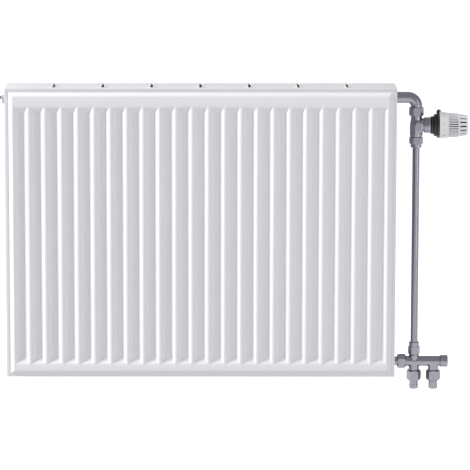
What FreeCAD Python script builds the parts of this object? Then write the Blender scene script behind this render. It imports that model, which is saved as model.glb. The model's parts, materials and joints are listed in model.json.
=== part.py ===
import FreeCAD, Part
import os
import Sketcher

# Double-panel steel radiator, 800 long, 600 high and 100 deep, hung on two wall brackets, with its
# side-mounted thermostatic valve set and its pipe manifold.  Units are millimetres.  +X runs along the
# radiator to the valve end, +Y to the wall and +Z up.  The origin is the centre of the four wall screws,
# in the wall's plane, at the middle of the radiator's height.

SIZES = {
    # whole radiator
    "length": 800,
    "height": 600,
    "depth": 100,
    "wall_gap": 30,
    "tapping_spacing": 550,
    "channels": 24,
    # pressed panel sheets
    "sheet": 1.25,
    "relief": 7.5,
    "panel_height": 597,
    "flange_half": 398,
    "flange_edge": 6,
    "rim_slope": 7.5,
    "groove_floor_half": 6.4,
    "groove_side_slope": 7,
    "groove_foot_slope": 11,
    "groove_head_slope": 9,
    "face_groove_foot": 29,
    "face_groove_head": 559.5,
    "back_groove_foot": 42,
    "back_groove_head": 552,
    # convector plates
    "fin_sheet": 0.5,
    "fin_depth": 28.5,
    "fin_web_half": 7,
    "fin_end_gap": 50,
    # tapping tees
    "tee_x": 372,
    "tee_face": 392,
    "tee_radius": 10,
    "tee_bore": 7,
    "port_radius": 13,
    "thread_bore": 10.5,
    "thread_radius": 10.3,
    "thread_start": 378,
    "seal_length": 2,
    "seal_bore": 9.6,
    "shoulder_radius": 12.4,
    "shoulder_end": 397,
    # casings
    "casing": 1,
    "cover_height": 9,
    "cover_half_depth": 44,
    "side_half_depth": 43.5,
    "side_lip": 6,
    "side_top_gap": 0.3,
    "port_hole": 14,
    "slot_count": 7,
    "slot_pitch": 100,
    "slot_width": 5,
    "slot_length": 70,
    "clip_x": 330,
    "clip_width": 14,
    "clip_sheet": 0.8,
    "clip_drop": 7.5,
    "clip_tab": 12,
    "clip_gap": 0.5,
    # hanging lugs and wall brackets
    "bracket_x": 266.6667,
    "bracket_half": 15,
    "bracket_sheet": 2,
    "bracket_flange": 12,
    "bracket_reach": 26,
    "bracket_end": 235,
    "hook_z": 190,
    "hook_half": 10,
    "hook_rise": 22,
    "screw_z": 150,
    "screw_radius": 4.25,
    "lug_half": 20,
    "lug_foot": 6.6,
    "lug_stand": 12,
    "lug_height": 30,
    "liner_base": 3,
    "liner_front": 15,
    "liner_back": 7,
    "liner_strap_gap": 1,
    # valve set, measured from the riser's axis
    "riser_reach": 42,
    "head_z": 218,
    "tube_radius": 9.25,
    "tube_bore": 7.5,
    "bend_radius": 17.6,
    "bend_end_z": 246,
    "bend_collar": 3,
    "bend_collar_radius": 11.8,
    "nut_flats": 27,
    "nut_chamfer": 1.5,
    "upper_nut_top": 255.5,
    "upper_nut_foot": 237.5,
    "union_bore": 12.3,
    "neck_radius": 11.5,
    "neck_thread": 12,
    "neck_top": 244.5,
    "body_radius": 13.5,
    "body_top": 226.5,
    "body_foot": 194,
    "boss_radius": 14.5,
    "boss_end": 14,
    "seat_x": -3,
    "chamber_radius": 9,
    "seat_radius": 4,
    "passage_x": -8,
    "passage_radius": 3.5,
    "passage_foot": 200,
    "passage_top": 221,
    "pipe_radius": 7.5,
    "pipe_bore": 6.7,
    "pipe_play": 0.1,
    "socket_depth": 12,
    "spigot_radius": 10.5,
    "spigot_play": 0.2,
    "spigot_length": 10,
    "olive_length": 2.5,
    "lower_nut_flats": 25.4,
    "lower_nut_length": 15,
    "lower_collar": 7,
    # thermostatic insert
    "insert_start": 6,
    "insert_radius": 8.8,
    "insert_flange": 16,
    "insert_end": 26.7,
    "insert_thread": 11.8,
    "insert_cavity": 6,
    "insert_cavity_end": 20,
    "stem_radius": 1.8,
    "stem_play": 0.3,
    "stem_end": 29.7,
    "plate_radius": 6,
    "plate_start": 0.6,
    "plate_end": 2.6,
    "washer_start": -1.9,
    "spring_radius": 4.1,
    "spring_wire": 0.45,
    # thermostatic head
    "ring_start": 16,
    "ring_end": 29.4,
    "ring_radius": 16.65,
    "ring_bore": 12.1,
    "ring_lip": 1.2,
    "ring_lip_bore": 9,
    "base_start": 30,
    "base_step_one": 35,
    "base_step_two": 41,
    "base_end": 46.6,
    "base_radius_one": 18.5,
    "base_radius_two": 23,
    "base_radius_three": 26,
    "base_flange_radius": 11.4,
    "base_neck_radius": 8.6,
    "base_wall": 1.5,
    "pin_hole": 4,
    "sleeve_radius": 16.5,
    "sleeve_bore": 14.6,
    "sleeve_end": 62,
    "pin_radius": 3,
    "sensor_start": 52,
    "sensor_end": 88,
    "sensor_radius": 13.8,
    "wheel_start": 46.9,
    "wheel_band_end": 64,
    "wheel_rib_end": 86.5,
    "wheel_end": 104.7,
    "wheel_radius": 27.5,
    "wheel_band_radius": 26,
    "wheel_rib_radius": 25.2,
    "wheel_rib_foot": 24,
    "wheel_tail_radius": 23,
    "wheel_end_radius": 21,
    "wheel_chamfer": 2,
    "wheel_bore": 17.3,
    "cap_start": 99,
    "cap_radius": 14.8,
    "cap_play": 0.2,
    "pointer_half": 3.5,
    "pointer_seat": 24.5,
    "pointer_clear": 28.2,
    "pointer_top": 32.3,
    "pointer_tip": 51.3,
    "head_spring_radius": 9,
    "head_spring_wire": 0.8,
    # manifold
    "bar_radius": 10.65,
    "bar_bore": 7.5,
    "bar_start": -28.5,
    "bar_thread_end": -17.6,
    "bar_end": 53.8,
    "union_start": -34.8,
    "union_end": -17,
    "union_lip": 1.8,
    "union_spigot": 12.1,
    "union_gasket": 1.5,
    "return_x": 40,
    "upper_port_top": -250,
    "upper_port_radius": 10,
    "upper_nut_flats": 22,
    "upper_nut_start": -260.3,
    "upper_nut_end": -242.7,
    "upper_collar_end": -234.4,
    "upper_collar_radius": 10.5,
    "cross_tube_radius": 4.6,
    "cross_tube_bore": 3.2,
    "drop_radius": 10.9,
    "drop_end": -293.4,
    "drop_spigot_end": -304,
    "drop_bore": 6,
    "drop_nut_end": -314.5,
    "tail_top": -299,
    "tail_radius": 9.5,
    "tail_end": -332.5,
    "tail_chamfer": 1.5,
    "tail_bore": 6,
    "tail_socket": 7.55,
    "tail_socket_top": -316,
    "end_cap_radius": 12.5,
    "end_cap_end": 69.8,
    "end_cap_plug": 7.3,
    "end_cap_plug_start": 47,
    "spindle_radius": 3,
    "spindle_bore": 3.3,
    "spindle_start": 42,
    "spindle_end": 67,
    "spindle_disc": 6.5,
    "spindle_disc_end": 45,
    # air vent and blanking plug
    "plug_end": 401,
    "plug_hex": 22,
    "vent_bore": 3.2,
    "nozzle_start": 401.3,
    "nozzle_end": 408,
    "nozzle_radius": 5.5,
    "spout_drop": 12.2,
    "spout_radius": 2.8,
    "spout_bore": 1.4,
    "spout_x": 404.8,
    "vent_screw_radius": 2.4,
    "vent_screw_start": 386,
    "vent_screw_end": 410,
    "vent_square": 5,
    "vent_square_start": 409,
    "vent_square_end": 414,
    "key_socket_half": 4,
    "key_socket_depth": 9,
}

MID_Y = "-(size.wall_gap + size.depth / 2)"
TOP_PORT = "size.tapping_spacing / 2"
BOTTOM_PORT = "-size.tapping_spacing / 2"
RISER_X = "size.length / 2 + size.riser_reach"
RETURN_X = RISER_X + " + size.return_x"
PITCH = "size.length / size.channels"
SHEET_LIFT = "(size.relief + size.sheet)"
FRONT_SEAM = "-(size.wall_gap + size.depth) + " + SHEET_LIFT
REAR_SEAM = "-size.wall_gap - " + SHEET_LIFT
ORIGIN = ("0", "0", "0")
HEAD = (RISER_X, MID_Y, "size.head_z")
RISER = (RISER_X, MID_Y, "0")
MANIFOLD = (RISER_X, MID_Y, BOTTOM_PORT)

# The turn that lays a piece's own +Z along the named direction.
TURNS = {
    "+Z": FreeCAD.Rotation(),
    "-Z": FreeCAD.Rotation(FreeCAD.Vector(1, 0, 0), 180),
    "+X": FreeCAD.Rotation(FreeCAD.Vector(0, 1, 0), 90),
    "-X": FreeCAD.Rotation(FreeCAD.Vector(0, 1, 0), -90),
    "+Y": FreeCAD.Rotation(FreeCAD.Vector(1, 0, 0), -90),
    "-Y": FreeCAD.Rotation(FreeCAD.Vector(1, 0, 0), 90),
}

doc = FreeCAD.newDocument("radiator")
sheet = doc.addObject("Spreadsheet::Sheet", "size")
for row, (alias, value) in enumerate(SIZES.items(), 1):
    sheet.set(f"A{row}", alias)
    sheet.set(f"B{row}", str(value))
    sheet.setAlias(f"B{row}", alias)
doc.recompute()

nodes = []


def amount(text):
    """Return the number that an expression on the sheet gives now."""
    return float(sheet.evalExpression(text))


def bind(piece, **sizes):
    """Tie a piece's sizes to expressions on the sheet."""
    for name, text in sizes.items():
        piece.setExpression(name, text)
    return piece


def place(piece, at, direction="+Z"):
    """Turn a piece's own +Z to a direction and tie its place to the sheet."""
    piece.Placement = FreeCAD.Placement(FreeCAD.Vector(*[amount(text) for text in at]), TURNS[direction])
    for letter, text in zip("xyz", at):
        piece.setExpression(f"Placement.Base.{letter}", text)
    return piece


def node(label, piece):
    """Name a finished sub-part and list it for writing."""
    piece.Label = label
    nodes.append(piece)
    return piece


def box(x, y, z):
    """Make a box between pairs of expressions."""
    piece = doc.addObject("Part::Box", "box")
    bind(piece, Length=f"({x[1]}) - ({x[0]})", Width=f"({y[1]}) - ({y[0]})", Height=f"({z[1]}) - ({z[0]})")
    return place(piece, (x[0], y[0], z[0]))


def rod(radius, start, end, at, direction="+Z"):
    """Make a cylinder from start to end along a direction through a point."""
    piece = doc.addObject("Part::Cylinder", "rod")
    bind(piece, Radius=radius, Height=f"({end}) - ({start})")
    letter, sign = "xyz".index(direction[1].lower()), direction[0]
    foot = list(at)
    foot[letter] = f"{foot[letter]} {sign} ({start})"
    return place(piece, tuple(foot), direction)


def fuse(*pieces):
    """Join pieces into one solid."""
    piece = doc.addObject("Part::MultiFuse", "joined")
    piece.Shapes = list(pieces)
    piece.Refine = True
    return piece


def cut(base, *tools):
    """Take tools away from a base."""
    piece = doc.addObject("Part::Cut", "cut")
    piece.Base = base
    piece.Tool = tools[0] if len(tools) == 1 else fuse(*tools)
    return piece


def group(pieces):
    """Keep like pieces together as separate solids."""
    piece = doc.addObject("Part::Compound", "like_pieces")
    piece.Links = pieces
    return piece


def origin_part(body, role):
    """Find one of a body's own origin planes or axes."""
    return [part for part in body.Origin.OriginFeatures if part.Role == role][0]


def closed_sketch(body, plane, points):
    """Draw a closed outline whose corners are tied to expressions."""
    sketch = body.newObject("Sketcher::SketchObject", "outline")
    sketch.AttachmentSupport = [(origin_part(body, plane), "")]
    sketch.MapMode = "FlatFace"
    corners = [FreeCAD.Vector(amount(across), amount(up), 0) for across, up in points]
    count = len(corners)
    for index in range(count):
        sketch.addGeometry(Part.LineSegment(corners[index], corners[(index + 1) % count]), False)
    for index in range(count):
        sketch.addConstraint(Sketcher.Constraint("Coincident", index, 2, (index + 1) % count, 1))
    for index, (across, up) in enumerate(points):
        for kind, text in (("DistanceX", across), ("DistanceY", up)):
            rule = sketch.addConstraint(Sketcher.Constraint(kind, -1, 1, index, 1, amount(text)))
            sketch.setExpression(f"Constraints[{rule}]", text)
    return sketch


def turned(points, at, direction="+Z"):
    """Turn an outline of (place along the axis, radius) corners round the axis."""
    body = doc.addObject("PartDesign::Body", "turned")
    outline = closed_sketch(body, "XZ_Plane", [(radius, along) for along, radius in points])
    spin = body.newObject("PartDesign::Revolution", "spin")
    spin.Profile = outline
    spin.ReferenceAxis = (outline, ["V_Axis"])
    spin.Angle = 360
    return place(body, at, direction)


def six_sided(points, flats, at, direction="+Z"):
    """Turn a piece and give it six flats where it is wider than they are."""
    low = min((text for text, radius in points), key=amount)
    high = max((text for text, radius in points), key=amount)
    barrel = turned(points, ORIGIN)
    prism = doc.addObject("Part::Prism", "flats")
    prism.Polygon = 6
    bind(prism, Circumradius=f"({flats}) / sqrt(3)", Height=f"({high}) - ({low})")
    place(prism, ("0", "0", low))
    nut = doc.addObject("Part::Common", "nut")
    nut.Base = barrel
    nut.Tool = prism
    return place(nut, at, direction)


def ring(start, end, inner, outer, at, direction="+Z"):
    """Make a plain ring."""
    return turned([(start, inner), (start, outer), (end, outer), (end, inner)], at, direction)


def coil(radius, wire, start, end, turns, at, direction="+Z"):
    """Wind a round-wire compression spring."""
    body = doc.addObject("PartDesign::Body", "coil")
    section = body.newObject("Sketcher::SketchObject", "wire")
    section.AttachmentSupport = [(origin_part(body, "XZ_Plane"), "")]
    section.MapMode = "FlatFace"
    foot = f"{start} + {wire}"
    centre = FreeCAD.Vector(amount(radius), amount(foot), 0)
    section.addGeometry(Part.Circle(centre, FreeCAD.Vector(0, 0, 1), amount(wire)), False)
    for kind, text in (("DistanceX", radius), ("DistanceY", foot)):
        rule = section.addConstraint(Sketcher.Constraint(kind, -1, 1, 0, 3, amount(text)))
        section.setExpression(f"Constraints[{rule}]", text)
    rule = section.addConstraint(Sketcher.Constraint("Radius", 0, amount(wire)))
    section.setExpression(f"Constraints[{rule}]", wire)
    winding = body.newObject("PartDesign::AdditiveHelix", "winding")
    winding.Profile = section
    winding.ReferenceAxis = (section, ["V_Axis"])
    winding.Mode = 0
    rise = f"({end}) - ({start}) - 2 * {wire}"
    bind(winding, Height=rise, Pitch=f"({rise}) / {turns}")
    return place(body, at, direction)


# ---------------------------------------------------------------- pressed panels


def wedge(body, kind, near, far, x_near, x_far, z_near, z_far):
    """Add or take a block whose rectangle changes from the near plane to the far plane."""
    piece = body.newObject(f"PartDesign::{kind}Wedge", kind.lower())
    bind(piece, Ymin=near, Ymax=far, Xmin=x_near[0], Xmax=x_near[1], X2min=x_far[0], X2max=x_far[1])
    bind(piece, Zmin=z_near[0], Zmax=z_near[1], Z2min=z_far[0], Z2max=z_far[1])
    return piece


def row_of(body, feature, count, reach):
    """Repeat a feature along X."""
    pattern = body.newObject("PartDesign::LinearPattern", "row")
    pattern.Originals = [feature]
    pattern.Direction = (origin_part(body, "X_Axis"), [""])
    bind(pattern, Occurrences=count, Length=reach)
    body.Tip = pattern
    return pattern


def both_ways(text):
    """Return the low and high ends of a span about zero."""
    return (f"-({text})", text)


def pressed_sheet(label, seam, direction, foot, head, ported):
    """Press one sheet of a panel: flange, raised field and grooves, hollow on the seam side."""
    body = doc.addObject("PartDesign::Body", "pressed")
    skin, lift = "size.sheet", SHEET_LIFT
    top = "size.panel_height"
    edge = "size.flange_edge"
    rise = "(size.flange_half - size.flange_edge)"
    slope = "size.rim_slope"
    wall = "size.sheet * sqrt(1 + pow(size.rim_slope / size.relief; 2))"
    flange = body.newObject("PartDesign::AdditiveBox", "flange")
    bind(flange, Length="2 * size.flange_half", Width=skin, Height=top)
    flange.setExpression("Placement.Base.x", "-size.flange_half")
    wedge(body, "Additive", skin, lift, both_ways(rise), both_ways(f"{rise} - {slope}"),
          (edge, f"{top} - {edge}"), (f"{edge} + {slope}", f"{top} - {edge} - {slope}"))
    back = f"{rise} + {slope} / size.relief * size.sheet - {wall}"
    step = f"{edge} - {slope} / size.relief * size.sheet + {wall}"
    wedge(body, "Subtractive", "0", "size.relief", both_ways(back), both_ways(f"{back} - {slope}"),
          (step, f"{top} - ({step})"), (f"{step} + {slope}", f"{top} - ({step}) - {slope}"))
    first = f"-({PITCH}) * (size.channels - 2) / 2"
    reach = f"({PITCH}) * (size.channels - 2)"
    count = "size.channels - 1"
    half, side = "size.groove_floor_half", "size.groove_side_slope"
    low, high = "size.groove_foot_slope", "size.groove_head_slope"

    def spread(run):
        """Return how far a slope's inner skin stands from its outer skin, at one depth."""
        return f"size.sheet * (sqrt(1 + pow({run} / size.relief; 2)) - {run} / size.relief)"

    inner = f"{half} + {spread(side)}"
    inner_low = f"{foot} + {low} - {spread(low)}"
    inner_high = f"{head} - {high} + {spread(high)}"
    bump = wedge(body, "Additive", "0", "size.relief", (f"{first} - ({inner})", f"{first} + ({inner})"),
                 (f"{first} - ({inner}) - {side}", f"{first} + ({inner}) + {side}"),
                 (inner_low, inner_high), (f"{inner_low} - {low}", f"{inner_high} + {high}"))
    row_of(body, bump, count, reach)
    groove = wedge(body, "Subtractive", skin, lift, (f"{first} - {half}", f"{first} + {half}"),
                   (f"{first} - {half} - {side}", f"{first} + {half} + {side}"),
                   (f"{foot} + {low}", f"{head} - {high}"), (foot, head))
    row_of(body, groove, count, reach)
    if ported:
        for x in ("-size.tee_x", "size.tee_x"):
            for z in (TOP_PORT, BOTTOM_PORT):
                port = body.newObject("PartDesign::SubtractiveCylinder", "port")
                bind(port, Radius="size.tee_bore", Height=f"2 * ({lift})")
                place(port, (x, "0", f"{z} + size.height / 2"), "+Y")
    facing = FreeCAD.Rotation(FreeCAD.Vector(0, 0, 1), 180 if direction == "-Y" else 0)
    place(body, ("0", seam, "-size.height / 2"))
    body.Placement = FreeCAD.Placement(body.Placement.Base, facing)
    return node(label, body)


FACE = ("size.face_groove_foot", "size.face_groove_head")
BACK = ("size.back_groove_foot", "size.back_groove_head")
pressed_sheet("front_panel_outer_sheet", FRONT_SEAM, "-Y", *FACE, False)
pressed_sheet("front_panel_inner_sheet", FRONT_SEAM, "+Y", *BACK, True)
pressed_sheet("rear_panel_inner_sheet", REAR_SEAM, "-Y", *BACK, True)
pressed_sheet("rear_panel_outer_sheet", REAR_SEAM, "+Y", *FACE, False)


def convector(label, y, turn):
    """Fold one convector plate: webs on the panel's channels, joined by folds in the air gap."""
    body = doc.addObject("PartDesign::Body", "fins")
    blank = body.newObject("PartDesign::AdditiveBox", "blank")
    tall = "size.height - 2 * size.fin_end_gap"
    edge = f"({PITCH}) * (size.channels - 3) / 2 + size.fin_web_half"
    bind(blank, Length=f"2 * ({edge})", Width="size.fin_depth", Height=tall)
    blank.setExpression("Placement.Base.x", f"-({edge})")
    first = f"-({PITCH}) * (size.channels - 3) / 2"
    reach = f"({PITCH}) * (size.channels - 3)"
    inside = body.newObject("PartDesign::SubtractiveBox", "inside")
    bind(inside, Length="2 * (size.fin_web_half - size.fin_sheet)", Width="size.fin_depth", Height=tall)
    inside.setExpression("Placement.Base.x", f"{first} - size.fin_web_half + size.fin_sheet")
    inside.setExpression("Placement.Base.y", "size.fin_sheet")
    row_of(body, inside, "size.channels - 2", reach)
    between = body.newObject("PartDesign::SubtractiveBox", "between")
    bind(between, Length=f"{PITCH} - 2 * size.fin_web_half", Height=tall)
    bind(between, Width="size.fin_depth - size.fin_sheet")
    between.setExpression("Placement.Base.x", f"{first} + size.fin_web_half")
    row_of(body, between, "size.channels - 3", f"({PITCH}) * (size.channels - 4)")
    place(body, ("0", y, "-size.height / 2 + size.fin_end_gap"))
    body.Placement = FreeCAD.Placement(body.Placement.Base, FreeCAD.Rotation(FreeCAD.Vector(0, 0, 1), turn))
    return node(label, body)


FRONT_BACK = f"{FRONT_SEAM} + {SHEET_LIFT}"
REAR_FACE = f"{REAR_SEAM} - ({SHEET_LIFT})"
convector("front_convector", FRONT_BACK, 0)
convector("rear_convector", REAR_FACE, 180)

for height_name, z in (("top", TOP_PORT), ("bottom", BOTTOM_PORT)):
    for side_name, sign, direction in (("left", "-", "-X"), ("right", "", "+X")):
        centre = (f"{sign}size.tee_x", MID_Y, z)
        across = (f"{sign}size.tee_x", "0", z)
        arm_start = "size.tee_face - size.tee_x"
        tee = fuse(rod("size.tee_radius", FRONT_BACK, REAR_FACE, across, "+Y"),
                   rod("size.port_radius", "0", arm_start, centre, direction))
        bores = (rod("size.tee_bore", FRONT_BACK, REAR_FACE, across, "+Y"),
                 rod("size.thread_bore", "size.thread_start - size.tee_x - 1", arm_start, centre, direction),
                 rod("size.tee_bore", "0", arm_start, centre, direction))
        node(f"{height_name}_{side_name}_tapping_tee", cut(tee, *bores))

# ---------------------------------------------------------------- casings

TOP = "size.height / 2"
COVER_FOOT = "size.height / 2 - size.cover_height"
HALF = "size.length / 2"


def span_y(half, inset="0"):
    """Return a span of Y about the middle plane."""
    return (f"{MID_Y} - {half} + {inset}", f"{MID_Y} + {half} - {inset}")


cover = box(both_ways(HALF), span_y("size.cover_half_depth"), (COVER_FOOT, TOP))
hollow = box(both_ways(f"{HALF} - size.casing"), span_y("size.cover_half_depth", "size.casing"),
             (COVER_FOOT, f"{TOP} - size.casing"))
slots = []
for index in range(SIZES["slot_count"]):
    middle = f"({index} - (size.slot_count - 1) / 2) * size.slot_pitch"
    slots.append(box((f"{middle} - size.slot_width / 2", f"{middle} + size.slot_width / 2"),
                     span_y("size.slot_length / 2"), (COVER_FOOT, TOP)))
node("top_grille", cut(cover, hollow, *slots))

clips = []
for x in ("-size.clip_x", "size.clip_x"):
    for seam, sign in ((FRONT_SEAM, "+"), (REAR_SEAM, "-")):
        near = f"{seam} {sign} (size.sheet + size.clip_gap)"
        leg_end = f"{near} {sign} size.clip_sheet"
        tab_end = f"{near} {sign} size.clip_tab"
        width = (f"{x} - size.clip_width / 2", f"{x} + size.clip_width / 2")
        leg_y = (near, leg_end) if sign == "+" else (leg_end, near)
        tab_y = (near, tab_end) if sign == "+" else (tab_end, near)
        under = f"{TOP} - size.casing"
        clips.append(fuse(box(width, leg_y, (f"{under} - size.clip_drop", under)),
                          box(width, tab_y, (f"{under} - size.clip_sheet", under))))
node("grille_clips", group(clips))


def side_panel(label, sign, direction):
    """Fold one end casing: a flat plate and two lips that hook over the panels' flanges."""
    outside, inside = f"{sign}({HALF})", f"{sign}({HALF} - size.casing)"
    lip = f"{sign}({HALF} - size.side_lip)"
    order = (lambda pair: pair) if sign == "" else (lambda pair: (pair[1], pair[0]))
    height = (f"-{TOP}", f"{COVER_FOOT} - size.side_top_gap")
    depth = span_y("size.side_half_depth")
    plate = box(order((inside, outside)), depth, height)
    front = box(order((lip, outside)), (depth[0], f"{depth[0]} + size.casing"), height)
    rear = box(order((lip, outside)), (f"{depth[1]} - size.casing", depth[1]), height)
    holes = [rod("size.port_hole", "size.length / 4", HALF, ("0", MID_Y, z), direction)
             for z in (TOP_PORT, BOTTOM_PORT)]
    return node(label, cut(fuse(plate, front, rear), *holes))


side_panel("left_side_panel", "-", "-X")
side_panel("right_side_panel", "", "+X")

# ---------------------------------------------------------------- hanging lugs and wall brackets

REAR_BACK = "-size.wall_gap"
lugs = []
liners = []
for x in ("-size.bracket_x", "size.bracket_x"):
    for z in ("size.hook_z", "-size.hook_z"):
        rest = f"{z} + size.liner_base"
        tall = (rest, f"{rest} + size.lug_height")
        strap_y = (f"{REAR_BACK} + size.lug_stand - size.bracket_sheet", f"{REAR_BACK} + size.lug_stand")
        strap = box((f"{x} - size.lug_half", f"{x} + size.lug_half"), strap_y, tall)
        foot_y = (REAR_BACK, strap_y[1])
        left_foot = box((f"{x} - size.lug_half", f"{x} - size.lug_half + size.lug_foot"), foot_y, tall)
        right_foot = box((f"{x} + size.lug_half - size.lug_foot", f"{x} + size.lug_half"), foot_y, tall)
        lugs.append(fuse(strap, left_foot, right_foot))
        wide = (f"{x} - size.hook_half", f"{x} + size.hook_half")
        tongue = "-size.bracket_reach + size.bracket_sheet"
        before = f"{strap_y[0]} - size.liner_strap_gap"
        behind = f"{strap_y[1]} + size.liner_strap_gap"
        back_end = f"{behind} + size.liner_base"
        liners.append(fuse(box(wide, (tongue, back_end), (z, rest)),
                           box(wide, (tongue, before), (z, f"{rest} + size.liner_front")),
                           box(wide, (behind, back_end), (z, f"{rest} + size.liner_back"))))
node("hanging_lugs", group(lugs))
node("bracket_liners", group(liners))


def wall_bracket(label, x):
    """Fold one wall bracket: a channel with two hooks and two screw holes."""
    wide = (f"{x} - size.bracket_half", f"{x} + size.bracket_half")
    tall = both_ways("size.bracket_end")
    thick = "size.bracket_sheet"
    pieces = [box(wide, (f"-{thick}", "0"), tall)]
    pieces.append(box((wide[0], f"{wide[0]} + {thick}"), ("-size.bracket_flange", "0"), tall))
    pieces.append(box((f"{wide[1]} - {thick}", wide[1]), ("-size.bracket_flange", "0"), tall))
    hook = (f"{x} - size.hook_half", f"{x} + size.hook_half")
    for z in ("size.hook_z", "-size.hook_z"):
        pieces.append(box(hook, ("-size.bracket_reach", "0"), (f"{z} - {thick}", z)))
        pieces.append(box(hook, ("-size.bracket_reach", f"-size.bracket_reach + {thick}"),
                          (f"{z} - {thick}", f"{z} + size.hook_rise")))
    holes = [rod("size.screw_radius", "-size.bracket_flange", "size.bracket_flange", (x, "0", z), "+Y")
             for z in both_ways("size.screw_z")]
    return node(label, cut(fuse(*pieces), *holes))


wall_bracket("left_wall_bracket", "-size.bracket_x")
wall_bracket("right_wall_bracket", "size.bracket_x")

# ---------------------------------------------------------------- tapping fittings

SEAL_END = "size.tee_face + size.seal_length"
seals = []
for z in (TOP_PORT, BOTTOM_PORT):
    for direction in ("-X", "+X"):
        seals.append(ring("size.tee_face", SEAL_END, "size.seal_bore", "size.shoulder_radius",
                          ("0", MID_Y, z), direction))
node("tapping_seals", group(seals))


def plug_outline(bore, bore_start, end):
    """Return the outline of a plug that screws into a tapping on the left."""
    return [("size.thread_start", "0" if bore_start else bore), ("size.thread_start", "size.thread_radius"),
            ("size.tee_face - 1", "size.thread_radius"), ("size.tee_face - 1", "size.seal_bore - 0.2"),
            (SEAL_END, "size.seal_bore - 0.2"), (SEAL_END, "size.shoulder_radius"),
            (end, "size.shoulder_radius"), (end, bore)]


LEFT_TOP = ("0", MID_Y, TOP_PORT)
LEFT_BOTTOM = ("0", MID_Y, BOTTOM_PORT)
vent_outline = plug_outline("size.vent_bore", False, "size.plug_end")
node("air_vent_plug", six_sided(vent_outline, "size.plug_hex", LEFT_TOP, "-X"))
blank_outline = plug_outline("size.key_socket_half", True, "size.plug_end - 2")
blank_outline += [("size.plug_end - size.key_socket_depth", "size.key_socket_half"),
                  ("size.plug_end - size.key_socket_depth", "0")]
node("blanking_plug", turned(blank_outline, LEFT_BOTTOM, "-X"))
SPOUT = ("-size.spout_x", MID_Y, TOP_PORT)
nozzle = fuse(rod("size.nozzle_radius", "size.nozzle_start", "size.nozzle_end", LEFT_TOP, "-X"),
              rod("size.spout_radius", "0", "size.spout_drop", SPOUT, "-Z"))
screw_way = rod("size.vent_bore", "size.nozzle_start", "size.nozzle_end", LEFT_TOP, "-X")
air_way = rod("size.spout_bore", "0", "size.spout_drop", SPOUT, "-Z")
node("air_vent_nozzle", cut(nozzle, screw_way, air_way))
square = "size.vent_square / 2"
node("air_vent_screw", fuse(
    rod("size.vent_screw_radius", "size.vent_screw_start", "size.vent_screw_end", LEFT_TOP, "-X"),
    box(("-size.vent_square_end", "-size.vent_square_start"), (f"{MID_Y} - {square}", f"{MID_Y} + {square}"),
        (f"{TOP_PORT} - {square}", f"{TOP_PORT} + {square}"))))

# ---------------------------------------------------------------- connecting bend and valve


def bend_run(radius, start, end_z):
    """Make the bend's run: along X, round a quarter turn, and down."""
    corner_x = f"{RISER_X} - size.bend_radius"
    corner_z = f"{TOP_PORT} - size.bend_radius"
    along = rod(radius, start, corner_x, ("0", MID_Y, TOP_PORT), "+X")
    elbow = doc.addObject("Part::Torus", "elbow")
    bind(elbow, Radius1="size.bend_radius", Radius2=radius, Angle3="90 deg")
    place(elbow, (corner_x, MID_Y, corner_z), "-Y")
    elbow.Placement = FreeCAD.Placement(elbow.Placement.Base, FreeCAD.Rotation(FreeCAD.Vector(1, 0, 0), 90))
    down = rod(radius, end_z, corner_z, (RISER_X, MID_Y, "0"), "+Z")
    return fuse(along, elbow, down)


THREAD_END = "size.tee_face - 1"
collars = (ring(SEAL_END, "size.shoulder_end", "size.tube_bore", "size.shoulder_radius", LEFT_TOP, "+X"),
           ring("size.thread_start", THREAD_END, "size.tube_bore", "size.thread_radius", LEFT_TOP, "+X"),
           ring("size.bend_end_z", "size.bend_end_z + size.bend_collar", "size.tube_bore",
                "size.bend_collar_radius", RISER))
tube = bend_run("size.tube_radius", "size.thread_start", "size.bend_end_z")
waterway = bend_run("size.tube_bore", "size.thread_start", "size.bend_end_z")
node("connecting_bend", cut(fuse(tube, *collars), waterway))

LIP = "size.bend_end_z + size.bend_collar"
CLEAR_TUBE = "size.tube_radius + 0.3"
node("upper_union_nut", six_sided(
    [("size.upper_nut_foot", "size.union_bore"), ("size.upper_nut_foot", "size.nut_flats / 2"),
     ("size.upper_nut_foot + size.nut_chamfer", "size.nut_flats / sqrt(3)"),
     ("size.upper_nut_top - size.nut_chamfer", "size.nut_flats / sqrt(3)"),
     ("size.upper_nut_top", "size.nut_flats / 2"), ("size.upper_nut_top", CLEAR_TUBE),
     (LIP, CLEAR_TUBE), (LIP, "size.union_bore")], "size.nut_flats", RISER))
node("union_gasket", ring("size.neck_top", "size.bend_end_z", "size.tube_bore",
                          "size.bend_collar_radius", RISER))

PIPE_SOCKET = "size.pipe_radius + size.pipe_play"
BODY_SPIGOT = "size.body_foot - size.spigot_length"
shell = turned([(BODY_SPIGOT, PIPE_SOCKET), (BODY_SPIGOT, "size.spigot_radius"),
                ("size.body_foot", "size.spigot_radius"), ("size.body_foot", "size.body_radius"),
                ("size.body_top", "size.body_radius"), ("size.body_top", "size.neck_radius"),
                ("size.upper_nut_foot", "size.neck_radius"), ("size.upper_nut_foot", "size.neck_thread"),
                ("size.neck_top", "size.neck_thread"), ("size.neck_top", "0"), ("size.body_foot + 2", "0"),
                ("size.body_foot + 2", PIPE_SOCKET)], RISER)
boss = rod("size.boss_radius", "0", "size.boss_end", HEAD, "+X")
passage = (f"{RISER_X} + size.passage_x", MID_Y, "0")
ways = (rod("size.tube_bore - 1", "size.body_foot", "size.passage_foot + 3", RISER),
        rod("size.passage_radius", "size.passage_foot", "size.passage_top", passage),
        rod("size.seat_radius", "size.passage_x", "size.seat_x", HEAD, "+X"),
        rod("size.chamber_radius", "size.seat_x", "size.boss_end", HEAD, "+X"),
        rod("size.tube_bore - 1", "size.head_z", "size.neck_top", RISER))
node("valve_body", cut(fuse(shell, boss), *ways))


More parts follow.
